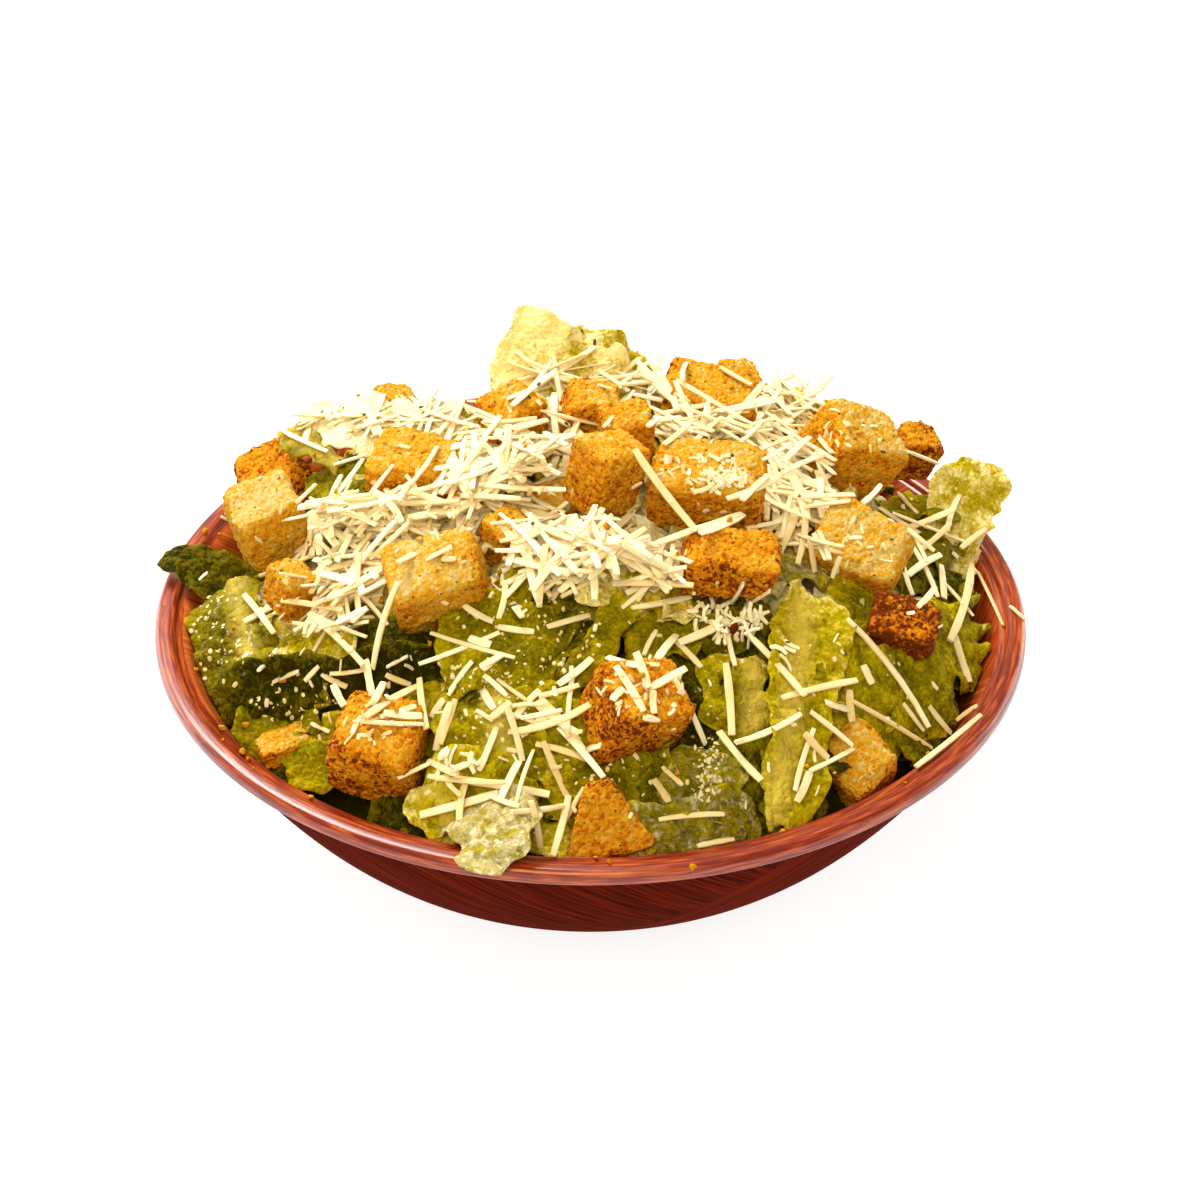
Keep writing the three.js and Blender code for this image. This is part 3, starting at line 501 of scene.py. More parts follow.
class SALAD_OT_bowl(bpy.types.Operator):
    """Turns the pressed-wood bowl with its rounded lip"""
    bl_idname = "salad.bowl"
    bl_label = "Bowl"

    def execute(self, context):
        bowl = context.scene.salad_bowl
        wall = bowl.wall / MM
        rim, height, foot = bowl.rim_radius / MM, bowl.height / MM, bowl.foot_radius / MM
        lip_in, lip_foot = rim - bowl.lip_width / MM, height - bowl.lip_height / MM
        # where the body ends under the lip, as a share of the wall, and how far the groove and the corners reach
        outside_top, inside_top, steps = 0.966, 0.975, 34
        groove, sharp, soften = 0.5, 1.1, 1.7
        outside = [body_point(bowl, outside_top * i / steps, 0) for i in range(1, steps + 1)]
        body = [(0, 0), (foot - 4, 0)] + round_corner((foot, 0), (foot - 2, 0), outside[0]) + outside[1:]
        body.append((outside[-1][0] - groove, lip_foot))
        lip = round_corner((rim, lip_foot), (rim - sharp, lip_foot), (rim, lip_foot + sharp))
        lip += round_corner((rim, height), (rim, height - soften), (rim - soften, height))
        lip += round_corner((lip_in, height), (lip_in + soften, height), (lip_in, height - soften))
        inside = [body_point(bowl, inside_top * i / steps, wall) for i in range(steps, -1, -1)] + [(0, wall)]
        profile = np.array(body + lip + inside, float)
        segments = 288
        angles = np.linspace(0, 2 * math.pi, segments, endpoint=False)[:, None]
        radii, heights = profile[1:-1, 0][None], profile[1:-1, 1][None]
        rings = np.stack([
            radii * np.cos(angles), radii * np.sin(angles), heights + 0 * angles,
        ], axis=-1)
        columns = len(profile) - 2
        index = np.arange(segments * columns).reshape(segments, columns)
        index = np.concatenate([index, index[:1]])
        first_pole = segments * columns
        fans = [
            np.stack([np.full(segments, first_pole), index[1:, 0], index[:-1, 0]], axis=1),
            np.stack([np.full(segments, first_pole + 1), index[:-1, -1], index[1:, -1]], axis=1),
        ]
        # the first point of the profile is a pole, so ring k stands for its point k + 1
        first_lip, first_inside = len(body) - 2, len(body) + len(lip) - 1
        poles = np.array([[0, 0, 0], [0, 0, wall]])
        piece = Piece()
        piece.add(np.concatenate([rings.reshape(-1, 3), poles]), [quads_of(index[:, :first_lip + 1]), fans[0]])
        none = np.empty((0, 3))
        piece.add(none, [quads_of(index[:, first_lip:first_inside + 1]) - piece.count], kind=1)
        piece.add(none, [quads_of(index[:, first_inside:]) - piece.count, fans[1] - piece.count], kind=2)
        # painted shade: the outside takes the darker pair of tones, and the inside, of the same veneer, the lighter
        # pair
        materials = [
            veneer_material("pressed veneer outside, darkened as painted shade", bowl.pale_veneer_painted_shade, bowl.deep_veneer_painted_shade, bowl.seam),
            veneer_material("veneer lip, stained and lacquered", bowl.pale_lip, bowl.deep_lip, bowl.seam, True),
            veneer_material("pressed veneer inside, without painted shade", bowl.pale_inside, bowl.deep_inside, bowl.seam),
        ]
        piece.make("veneer_bowl", materials, "lacquered_wood", ["bowl"])
        return {"FINISHED"}


# ---------------------------------------------------------------- the heap's skin


def skin(x, y):
    """The height of the leaves' skin over a place in plan."""
    dx, dy = x - HEAP_CENTRE[0], y - HEAP_CENTRE[1]
    away = np.hypot(dx, dy) + 1e-6
    along = (HEAP_CENTRE[0] * dx + HEAP_CENTRE[1] * dy) / away
    outside = HEAP_RADIUS ** 2 - HEAP_CENTRE[0] ** 2 - HEAP_CENTRE[1] ** 2
    wall = np.sqrt(along ** 2 + outside) - along
    share = np.minimum(away / wall, 1.15)
    return HEAP_PEAK + (HEAP_EDGE - HEAP_PEAK) * share ** 2


def skin_normal(x, y):
    slope_x = (skin(x + 1, y) - skin(x - 1, y)) / 2
    slope_y = (skin(x, y + 1) - skin(x, y - 1)) / 2
    return unit(np.array([-slope_x, -slope_y, 1.0]))


# ---------------------------------------------------------------- leaves


def inside_wall(bowl, clear):
    """The radius and the height of points up the inside of the bowl, some way clear of it."""
    return np.array([body_point(bowl, share, bowl.wall / MM + clear) for share in np.linspace(0, 1, 40)]).T


def held_by_bowl(points, bowl):
    """Moves points that would cut through the wall inside it, and lays those over the lip on top of it."""
    away = np.hypot(points[..., 0], points[..., 1])
    height, on_lip, clear = bowl.height / MM, 0.7, 0.8
    radii, heights = inside_wall(bowl, clear)
    furthest = np.interp(points[..., 2], heights, radii)
    inward = np.where((points[..., 2] < height - 2) & (away > furthest), furthest / away, 1.0)
    held = points * np.stack([inward, inward, np.ones_like(inward)], -1)
    lip_inside = (bowl.rim_radius - bowl.lip_width) / MM - 1.5
    over_lip = (away * inward > lip_inside) & (held[..., 2] < height + on_lip)
    held[..., 2] = np.where(over_lip, height + on_lip, held[..., 2])
    return held


VEIN_SPACING = 6.5


def vein_phase(u, v, seed):
    """Counts the side veins, which leave the midrib slantwise and wander a little."""
    wander = 0.35 * np.sin(0.21 * v + 6 * draw(seed, 11)) + 0.3 * np.sin(0.17 * u + 6 * draw(seed, 12))
    return (u + 0.75 * np.abs(v)) / VEIN_SPACING + wander


# The blisters of a blade: how high they stand, how far apart they lie and where their noise starts.
BLISTERS = [(0.5, 3.1, 5.0), (0.22, 1.6, 8.0), (0.3, 1.3, 6.0)]
FAR_FROM_RIB = 60.0


def leaf_sheet(leaf, seed, cell):
    """A leaf's middle surface as a grid of points, and what its material needs at each."""
    start, end = np.array(leaf.start, float), np.array(leaf.end, float)
    long = np.linalg.norm(end - start)
    rows, columns = (max(9, round(size / cell) + 1) for size in (long, leaf.wide))
    a, c = np.meshgrid(np.linspace(0, 1, rows), np.linspace(-1, 1, columns), indexing="ij")
    tip = np.abs(2 * a - 1)
    torn = 1 + 0.14 * np.sin(9 * a + 6.28 * draw(seed, 1) + c)
    half = leaf.wide / 2 * (1 + (leaf.taper - 1) * a) * np.sqrt(1 - 0.82 * tip ** 5) * torn
    reach = (a - 0.5) * long * (1 - 0.1 * c ** 2 * math.cos(5 * draw(seed, 2)))
    side = c * half
    # bites of 2.4 mm and tears of 7.5 mm out of the outline
    level = np.full_like(reach, seed * 3.7)
    bite = noise_over(np.stack([reach, 40 * np.sign(c), level], -1), 2.4)
    nick = noise_over(np.stack([side, 40 * np.sign(a - 0.5), level], -1), 2.4, 9.0)
    tear = noise_over(np.stack([reach, side, level], -1), 7.5, 4.0)
    side = side + np.sign(c) * np.abs(c) ** 4 * (0.6 * bite + 1.5 * tear)
    reach = reach + np.sign(a - 0.5) * tip ** 6 * (0.7 * nick + 1.6 * tear)
    bend, cup = math.radians(leaf.bend) / long, math.radians(leaf.cup) / leaf.wide
    wave = np.sin(6.28 * ((2 + 2 * draw(seed, 3)) * a + draw(seed, 4)) + 2 * np.sign(c))
    frill = 0.5 * leaf.ruffle * np.abs(c) ** 5 * np.sin(reach * 0.95 + 6 * draw(seed, 5))
    arch = (np.cos(reach * bend) - math.cos(long / 2 * bend)) / bend
    curl = (1 - np.cos(side * cup)) / cup
    along = unit(end - start)
    middle = (start + end) / 2
    across = unit(np.cross(skin_normal(middle[0], middle[1]), along))
    across = np.array(Matrix.Rotation(math.radians(leaf.roll), 3, Vector(along)) @ Vector(across))
    out = np.cross(along, across)
    local = np.stack([np.sin(reach * bend) / bend, np.sin(side * cup) / cup,
                      arch + curl + leaf.ruffle * c ** 2 * wave + frill], -1)
    sheet = local @ np.stack([along, across, out]) + middle
    # the blade swells between its veins
    has_rib = leaf.rib is not None
    from_rib = side - leaf.rib * leaf.wide / 2 if has_rib else side
    phase = vein_phase(reach, from_rib, seed)
    from_vein = np.abs(phase - np.round(phase))
    flat = np.stack([reach, side, level], -1)
    crinkle = 0.7 * np.sqrt(2 * from_vein) * (0.6 + 0.6 * noise_over(flat, 5.0, 3.0))
    for high, size, shift in BLISTERS:
        crinkle = crinkle + high * noise_over(flat, size, shift)
    # dark leaves are crisper, and the whole blade rolls in waves of 8 mm
    relief = (0.9 + 0.8 * leaf.tone) * crinkle + 1.3 * noise_over(flat, 8.0) - 0.3
    sheet = sheet + sheet_out(sheet) * relief[..., None]
    edge = np.minimum(1 - np.abs(c), 1 - tip)
    thickness = 0.45 + 0.55 * np.clip(edge * 5, 0, 1)
    if has_rib:
        thickness = thickness + 0.5 * np.exp(-(from_rib / 3.0) ** 2)
    values = {
        "vein": phase, "rib": np.abs(from_rib) if has_rib else np.full_like(side, FAR_FROM_RIB),
        "crinkle": crinkle, "frill": np.maximum(np.abs(c), tip) ** 5, "tone": leaf.tone + 0.16 * (a - 0.5),
    }
    return sheet, thickness, values


def add_leaf(piece, leaf, seed, settings, coarser=1.0):
    sheet, thickness, values = leaf_sheet(leaf, seed, coarser * settings.cell / MM)
    sheet = held_by_bowl(sheet, bpy.context.scene.salad_bowl)
    points, faces = thin_solid(sheet, thickness * settings.thickness / MM)
    doubled = {name: np.tile(value.ravel(), 2) for name, value in values.items()}
    under = np.repeat([0.0, 1.0], sheet.shape[0] * sheet.shape[1])
    piece.add(points, faces, dressed=leaf.dressed, under=under, **doubled)


def leaf_material(settings):
    """Romaine: a crisp leaf, torn by hand and tossed in dressing.

    It gives the eye a mottled, blistered blade with a yellower torn edge and a pale midrib, under a broken film of
    cream.
    """
    material, tree = new_material("romaine leaf, torn and dressed")
    place = add_node(tree, "TexCoord", out="Object")
    read = {
        name: add_node(tree, "Attribute", out="Fac", attribute_name=name)
        for name in ("tone", "dressed", "under", "vein", "rib", "crinkle", "frill")
    }
    # clouds of 9 mm and mottling of 1 mm
    clouds = add_node(tree, "TexNoise", {"Vector": place, "Scale": 1 / (9 * MM), "Detail": 2})
    mottle = add_node(tree, "TexNoise", {"Vector": place, "Scale": 1 / (1.0 * MM), "Detail": 4, "Roughness": 0.7})
    # veinlets part the blade into cells of 2.4 mm
    cells = add_node(
        tree, "TexVoronoi", {"Vector": place, "Scale": 1 / (2.4 * MM)}, out="Distance", feature="DISTANCE_TO_EDGE",
    )
    cells = add_node(tree, "MapRange", {0: cells, 2: 0.25, 4: 0.4})
    # painted light and shade: the blisters' tops are painted paler and the hollows between them darker green, and the
    # torn edge is yellower
    tone = read["tone"]
    weights = [(clouds, 0.4), (mottle, 0.85), (read["crinkle"], -0.22), (read["frill"], -0.14), (cells, 0.16)]
    for pattern, weight in weights:
        tone = add_node(tree, "Math", {0: pattern, 1: weight, 2: tone}, operation="MULTIPLY_ADD")
    tone = add_node(tree, "Math", {0: tone, 1: 0.65}, operation="SUBTRACT")
    blade = add_node(tree, "ValToRGB", {0: tone}, stops=[
        (0.0, settings.heart), (0.26, settings.pale), (0.56, settings.green), (0.92, settings.dark),
    ])
    # faint side veins, and a midrib 9 mm wide that fades towards its sides
    from_vein = add_node(tree, "Math", {0: read["vein"], 1: 0.5}, operation="PINGPONG")
    vein = add_node(tree, "MapRange", {0: from_vein, 2: 0.08, 3: 0.03, 4: 0.0})
    rib = add_node(tree, "MapRange", {0: read["rib"], 1: 0.5, 2: 4.5, 3: 0.7, 4: 0.0})
    pale = add_node(tree, "Math", {0: vein, 1: rib}, operation="MAXIMUM")
    blade = add_node(tree, "Mix", {0: pale, 6: blade, 7: settings.midrib}, out=2, data_type="RGBA")
    # the underside is duller
    dull = add_node(tree, "Math", {0: read["under"], 1: 0.22}, operation="MULTIPLY")
    blade = add_node(tree, "Mix", {0: dull, 6: blade, 7: settings.pale}, out=2, data_type="RGBA")
    # the film breaks into smears of 2.4 mm and specks of under 1 mm
    smear = add_node(tree, "TexNoise", {
        "Vector": place, "Scale": 1 / (2.4 * MM), "Detail": 6, "Roughness": 0.75, "Distortion": 0.6,
    })
    wet = add_node(tree, "Math", {0: read["dressed"], 1: 0.36, 2: smear}, operation="MULTIPLY_ADD")
    film = add_node(tree, "MapRange", {0: wet, 1: 0.68, 2: 0.86, 4: 0.82})
    tint = add_node(tree, "Mix", {0: film, 6: blade, 7: settings.dressing}, out=2, data_type="RGBA")
    # fine wrinkles of 1.1 mm
    fine = add_node(tree, "TexNoise", {"Vector": place, "Scale": 1 / (1.1 * MM), "Detail": 3})
    height = add_node(tree, "Math", {0: film, 1: 0.5, 2: fine}, operation="MULTIPLY_ADD")
    height = add_node(tree, "Math", {0: height, 1: cells}, operation="ADD")
    relief = add_node(tree, "Bump", {"Height": height, "Strength": 1.0, "Distance": 0.7 * MM})
    gloss = add_node(tree, "MapRange", {0: smear, 1: 0.3, 2: 0.7, 3: 0.42, 4: 0.7})
    shader = add_node(tree, "BsdfPrincipled", {
        "Base Color": tint, "Normal": relief, "Roughness": gloss, "IOR": 1.42, "Specular IOR Level": 0.03,
        "Specular Tint": (1, 0.93, 0.5, 1),
        "Subsurface Weight": 0.12, "Subsurface Radius": (2.2, 1.8, 0.2), "Subsurface Scale": 1 * MM,
    })
    add_node(tree, "OutputMaterial", {0: shader})
    return material


def coated(x, y):
    """How far dressing covers the leaves under the cheese: 1 over the heap's middle, 0 in front and at the wall."""
    return np.clip((y + 36) / 8, 0, 1) * np.clip((52 - y) / 10, 0, 1) * np.clip((84 - np.hypot(x, y)) / 10, 0, 1)


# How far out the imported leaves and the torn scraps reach, and the golden angle that spreads the scraps evenly.
CORE_RADIUS = 86.0
SCRAP_REACH = 85
GOLDEN_TURN = 2.39996


def core_piece(bowl):
    """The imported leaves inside: a lumpy body that fills the bowl under the leaves that show."""
    piece = Piece()
    rows, columns = 80, 130
    shares = np.linspace(0.004, 1, rows)[:, None]
    angles = np.linspace(0, 2 * math.pi, columns, endpoint=False)[None]
    away = CORE_RADIUS * shares
    x, y = away * np.cos(angles), away * np.sin(angles)
    flat = np.stack([x, y, 0 * x], -1)
    top = skin(x, y) - 7 + 3.2 * noise_over(flat, 11.0) + 1.8 * noise_over(flat, 4.5, 2.0)
    # it sinks towards the wall, so that torn leaves show there
    top = top - 6 * np.clip((shares - 0.68) / 0.32, 0, 1)
    # underneath, the core keeps 1 mm clear of the bowl
    below = np.interp(away, *inside_wall(bowl, 1)) + 0 * x
    over = np.stack([x, y, np.maximum(top, below + 0.5)], -1)
    under = np.stack([x, y, below], -1)
    count = rows * columns
    index = np.arange(count).reshape(rows, columns)
    index = np.concatenate([index, index[:, :1]], axis=1)
    quads = quads_of(index)
    side = np.stack([index[-1, :-1], index[-1, :-1] + count, index[-1, 1:] + count, index[-1, 1:]], -1)
    hubs = np.stack([index[0, :-1][::-1], index[0, :-1] + count])
    coat = np.tile(coated(x, y).ravel(), 2)
    # painted shade: where no dressing covers them, the packed leaves take the darkest leaf tone, so the hollows
    # between the leaves show dark
    piece.add(
        np.concatenate([over.reshape(-1, 3), under.reshape(-1, 3)]), [quads, quads[:, ::-1] + count, side, hubs],
        tone=1 - 0.8 * coat, dressed=0.7 * coat, under=0.0, vein=0.4, rib=FAR_FROM_RIB, crinkle=0.0, frill=0.0,
    )
    return piece


class SALAD_OT_leaves(bpy.types.Operator):
    """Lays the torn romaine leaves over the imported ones"""
    bl_idname = "salad.leaves"
    bl_label = "Romaine leaves"

    def execute(self, context):
        settings = context.scene.salad_leaves
        material = leaf_material(settings)
        groups = {"romaine_hearts": Piece(), "romaine_green": Piece(), "romaine_outer": Piece()}
        for seed, leaf in enumerate(LEAVES):
            name = "romaine_hearts" if leaf.tone < 0.4 else "romaine_green" if leaf.tone < 0.7 else "romaine_outer"
            add_leaf(groups[name], leaf, seed, settings)
        for name, piece in groups.items():
            piece.make(name, [material], "romaine_leaf", ["romaine_heap"])
        scraps = Piece()
        rng = np.random.default_rng(11)
        for k in range(settings.scraps):
            away, turn = SCRAP_REACH * math.sqrt((k + 0.5) / settings.scraps), k * GOLDEN_TURN
            x, y = away * math.cos(turn), away * math.sin(turn)
            coat = float(coated(x, y))
            long, heading = rng.uniform(13, 24), rng.uniform(0, 2 * math.pi)
            step = np.array([math.cos(heading), math.sin(heading)]) * long / 2
            ends = [
                (px, py, float(skin(px, py)) + rng.uniform(-7.5, -2.5))
                for px, py in ((x - step[0], y - step[1]), (x + step[0], y + step[1]))
            ]
            leaf = Leaf(
                ends[0], ends[1], rng.uniform(11, 20), rng.uniform(0.6, 1), rng.uniform(-28, 28),
                rng.uniform(8, 50), rng.choice([-1, 1]) * rng.uniform(14, 60), rng.uniform(0.8, 1.8),
                rng.choice([0.45, 0.7, 0.85, 0.95]) - 0.5 * coat, 0.1 + 0.5 * coat,
            )
            add_leaf(scraps, leaf, 100 + k, settings, coarser=2.0)
        scraps.make("romaine_scraps", [material], "romaine_leaf", ["romaine_heap"])
        core_piece(context.scene.salad_bowl).make("packed_leaves", [material], "romaine_leaf", ["romaine_heap"])
        return {"FINISHED"}


# ---------------------------------------------------------------- croutons


def cube_lattice(steps):
    """The points of a cube's surface from -1 to 1, and its square faces, with no point twice."""
    i, j = np.meshgrid(np.arange(steps + 1), np.arange(steps + 1), indexing="ij")
    quads = grid_faces(steps + 1, steps + 1)
    corners, faces = [], []
    for axis in range(3):
        for end in (0, steps):
            block = np.empty(i.shape + (3,), int)
            block[..., axis] = end
            block[..., (axis + 1) % 3] = i
            block[..., (axis + 2) % 3] = j
            faces.append((quads if end else quads[:, ::-1]) + sum(map(len, corners)))
            corners.append(block.reshape(-1, 3))
    corners = np.concatenate(corners)
    codes = corners @ np.array([(steps + 1) ** 2, steps + 1, 1])
    _, first, place = np.unique(codes, return_index=True, return_inverse=True)
    return 2.0 * corners[first] / steps - 1, place.reshape(-1)[np.concatenate(faces)]


def into_crouton(crouton, seed, points):
    """Takes points of a box from -1 to 1 to their places between the crouton's eight wandering corners."""
    moved = np.zeros_like(points)
    corners = [(x, y, z) for x in (-1, 1) for y in (-1, 1) for z in (-1, 1)]
    for i, corner in enumerate(corners):
        weight = np.prod(1 + points * np.array(corner), axis=1, keepdims=True) / 8
        shrink = np.array([1 + 2 * CROUTON_WARP * (draw(seed, 3 * i + axis) - 0.6) for axis in range(3)])
        moved += weight * np.array(corner) * shrink
    moved[:, 0] *= 1 - crouton.pinch * (1 + points[:, 1]) / 2
    return moved * np.array(crouton.size) / 2


BREAD_NAME = "white bread, cubed and toasted"


def bread_material(settings):
    """White bread: cut in cubes, oiled, seasoned and toasted until dry.

    It gives the eye a sandy crumb of grains under a millimetre, orange-brown towards its edges, with flecks of dried
    herb. Its upper face is paler as painted light, and its underside and pits darker as painted shade.
    """
    material, tree = new_material(BREAD_NAME)
    place = add_node(tree, "TexCoord", out="Object")
    toast, pit = (add_node(tree, "Attribute", out="Fac", attribute_name=name) for name in ("toast", "pit"))
    # sandy grains of 0.8 mm, each with a tone of its own, over a crumb of 0.9 mm and patches of 3.5 mm
    sand = add_node(tree, "TexVoronoi", {"Vector": place, "Scale": 1 / (0.8 * MM)}, out="Color")
    spark = add_node(tree, "SeparateColor", {0: sand})
    grain = add_node(tree, "TexNoise", {"Vector": place, "Scale": 1 / (0.9 * MM), "Detail": 5, "Roughness": 0.8})
    patch = add_node(tree, "TexNoise", {"Vector": place, "Scale": 1 / (3.5 * MM), "Detail": 2})
    # painted shade: the pits are darker
    tone = toast
    for pattern, weight in ((grain, -0.66), (spark, -0.55), (patch, 0.5), (pit, 0.25)):
        tone = add_node(tree, "Math", {0: pattern, 1: weight, 2: tone}, operation="MULTIPLY_ADD")
    tone = add_node(tree, "Math", {0: tone, 1: 0.44}, operation="ADD")
    crust = add_node(tree, "ValToRGB", {0: tone}, stops=[
        (0.0, settings.soft), (0.16, settings.crumb), (0.5, settings.golden), (0.8, settings.brown),
        (1.0, settings.scorched),
    ])
    # flecks of up to 0.8 mm, about 5 mm apart
    fleck = add_node(tree, "TexVoronoi", {"Vector": place, "Scale": 1 / (2.6 * MM)}, out="Distance")
    fleck = add_node(tree, "MapRange", {0: fleck, 1: 0.09, 2: 0.15, 3: 0.75, 4: 0.0})
    crust = add_node(tree, "Mix", {0: fleck, 6: crust, 7: settings.fleck}, out=2, data_type="RGBA")
    deep = sand.node.outputs["Distance"]
    height = add_node(tree, "Math", {0: deep, 1: -0.9, 2: grain}, operation="MULTIPLY_ADD")
    relief = add_node(tree, "Bump", {"Height": height, "Strength": 1.0, "Distance": 1.2 * MM})
    shader = add_node(tree, "BsdfPrincipled", {
        "Base Color": crust, "Normal": relief, "Roughness": 0.8, "IOR": 1.45, "Specular IOR Level": 0.08,
        "Subsurface Weight": 0.1, "Subsurface Radius": (1.6, 0.9, 0.3), "Subsurface Scale": 1 * MM,
    })
    add_node(tree, "OutputMaterial", {0: shader})
    return material


class SALAD_OT_croutons(bpy.types.Operator):
    """Cuts and toasts the croutons, each a piece of its own"""
    bl_idname = "salad.croutons"
    bl_label = "Croutons"

    def execute(self, context):
        settings = context.scene.salad_bread
        material = bread_material(settings)
        lattice, faces = cube_lattice(settings.steps)
        power = CROUTON_SQUARENESS
        rounded = lattice / (np.abs(lattice) ** power).sum(axis=1, keepdims=True) ** (1 / power)
        spread = np.sort(np.abs(lattice), axis=1)
        edge = spread[:, 1] ** 6
        for seed, crouton in enumerate(CROUTONS):
            local = into_crouton(crouton, seed, rounded)
            out = unit(rounded ** (power - 1) / np.array(crouton.size))
            # lumps of 6.5 mm, knobs of 2.6 mm, pits of 1.5 mm and grains of 0.8 mm
            lumps = noise_over(local, 6.5, seed * 5.3)
            knobs = noise_over(local, 2.6, seed * 3.1)
            cells = np.array([noise.voronoi(Vector(p))[0][0] for p in local / 1.5 + seed * 2.1])
            grains = noise_over(local, 0.8, seed * 1.9)
            pits = np.clip(cells - 0.4, 0, 1)
            worn = edge * np.clip(noise_over(local, 4.0, seed * 2.7) + 0.15, 0, 1)
            relief = 0.5 * lumps + 0.36 * knobs + 0.2 - 1.0 * pits + 0.45 * grains - 1.1 * worn
            local = local + out * relief[:, None]
            # painted light and shade: the cube's own upper face is made paler, and its sides and underside darker
            top = np.clip(out[:, 2], 0, 1) ** 1.5
            low = np.clip(0.5 - out[:, 2], 0, 1)
            painted_top_light = 0.3 * top * (1 - 0.6 * crouton.brown)
            toast = 0.28 + 0.48 * crouton.brown + 0.1 * edge + 0.12 * low - painted_top_light + 0.2 * lumps
            turn = Euler([math.radians(angle) for angle in crouton.turn], "XYZ").to_matrix()
            points = local @ np.array(turn).T + np.array(crouton.at)
            piece = Piece()
            piece.add(points, [faces], toast=toast, pit=pits)
            number = f"{seed + 1:02d}"
            piece.make(f"toast_cube_{number}", [material], "toasted_bread", [f"crouton_{number}"])
        return {"FINISHED"}


# ---------------------------------------------------------------- the camera's view

# The camera's frame in pixels, its shift in shares of the frame, and its sensor in millimetres.
FRAME = 1200
FRAME_SHIFT = (0.0079, 0.0042)
SENSOR = 36


class View:
    """The camera's place and its line through each pixel, for things that are placed as they look from there."""

    def __init__(self, context):
        stage = context.scene.salad_stage
        self.back = np.array([0, -math.cos(stage.elevation), math.sin(stage.elevation)])
        self.up = np.array([0, math.sin(stage.elevation), math.cos(stage.elevation)])
        self.eye = (np.array([0, 0, context.scene.salad_bowl.height]) + self.back * stage.distance) / MM
        self.spread = SENSOR / stage.lens

    def through(self, across, down):
        """The way the camera looks through a pixel."""
        right = (across / FRAME - 0.5 + FRAME_SHIFT[0]) * self.spread
        rise = (0.5 - down / FRAME + FRAME_SHIFT[1]) * self.spread
        return unit(np.array([right, 0, 0]) + rise * self.up - self.back)


# ---------------------------------------------------------------- cheese and crumbs


class Heap:
    """What already lies in the bowl, for laying more on it. Places are in millimetres."""

    def __init__(self, context):
        self.scene = context.scene
        self.graph = context.evaluated_depsgraph_get()
        self.laid = None

    def add(self, piece):
        """Counts the strips laid so far as ground for the next ones."""
        if piece.count:
            faces = [face for block in piece.faces for face in block.tolist()]
            self.laid = BVHTree.FromPolygons(np.concatenate(piece.points).tolist(), faces)

    def cast(self, start, way):
        """The first thing on a line: its place, the way it faces and its name, or None."""
        start = np.asarray(start, float)
        hit, place, normal, _, thing, _ = self.scene.ray_cast(self.graph, Vector(start * MM), Vector(way))
        found = (np.array(place) / MM, np.array(normal), thing.name) if hit else None
        if self.laid:
            place, normal, _, far = self.laid.ray_cast(Vector(start), Vector(way))
            if place is not None and (not found or far < np.linalg.norm(found[0] - start)):
                return np.array(place), np.array(normal), "shreds"
        return found

    def below(self, x, y):
        return self.cast((x, y, 200), (0, 0, -1))

    def hides(self, view, place):
        """Whether something stands between the camera and a place."""
        far = np.linalg.norm(place - view.eye)
        first = self.cast(view.eye, unit(place - view.eye))
        return first is not None and np.linalg.norm(first[0] - view.eye) < far - 1.5


def in_disc(rng, radius=1.0):
    """A random place in a disc round the origin."""
    away, turn = radius * math.sqrt(rng.uniform()), rng.uniform(0, 2 * math.pi)
    return away * math.cos(turn), away * math.sin(turn)


def seen_in(heap, view, rng, spots, share=1.0):
    """Places on what shows in oval spots of the frame, each given as its middle, its reach and a number."""
    for (across, down), (wide, high), number in spots:
        for _ in range(round(number * share)):
            x, y = in_disc(rng)
            found = heap.cast(view.eye, view.through(across + wide * x, down + high * y))
            if found:
                yield found


def unseen(heap, view, rng, number):
    """Places all over the heap that the camera doesn't see."""
    for _ in range(number):
        found = heap.below(*in_disc(rng, CHEESE_REACH))
        if found and found[0][2] > FLOOR_OF_HEAP and heap.hides(view, found[0]):
            yield found


def resting_line(heap, x, y, heading, long):
    """A rod let down over a place rests on two supports: its height, slope, gap below and what lies under it."""
    number, middle = 9, 4
    reach = np.linspace(-0.46, 0.46, number) * long
    found = [heap.below(x + s * math.cos(heading), y + s * math.sin(heading)) for s in reach]
    heights = [place[0][2] if place else -1.0 for place in found]
    best = (-9.0, 0.0)
    for i in range(middle):
        for j in range(middle + 1, number):
            slope = (heights[j] - heights[i]) / (reach[j] - reach[i])
            best = max(best, (heights[i] - slope * reach[i], slope))
    best = max(best, (heights[middle], best[1]))
    return best[0], best[1], best[0] - heights[middle], [place[2] for place in found if place]


def strip_solid(long, wide, thick, bow, rng, steps=5):
    """A cut strip with slightly rounded edges, bowed sideways, whose middle is the origin."""
    corners = [(-0.5, -0.3), (-0.34, -0.5), (0.34, -0.5), (0.5, -0.3)]
    section = np.array(corners + [(-x, -y) for x, y in corners])
    shares = np.linspace(-0.5, 0.5, steps + 1)
    swing = 2 * bow * shares
    x = long * np.sin(swing) / (2 * bow)
    y = long * (1 - np.cos(swing)) / (2 * bow)
    y = y - y[0] * 2 / 3
    rings = []
    for k in range(steps + 1):
        size = np.array([wide, thick]) * (1 + rng.uniform(-0.1, 0.1, 2)) * (0.84 if k in (0, steps) else 1)
        flat = section * size
        aside = np.array([-math.sin(swing[k]), math.cos(swing[k]), 0])
        rings.append(np.array([x[k], y[k], 0]) + flat[:, :1] * aside + flat[:, 1:] * np.array([0, 0, 1]))
    points = np.concatenate(rings)
    around = len(section)
    index = np.arange(steps + 1)[:, None] * around + np.arange(around + 1)[None] % around
    caps = np.stack([index[0, :-1], index[-1, :-1][::-1]])
    return points, [quads_of(index)[:, ::-1], caps[:, ::-1]]


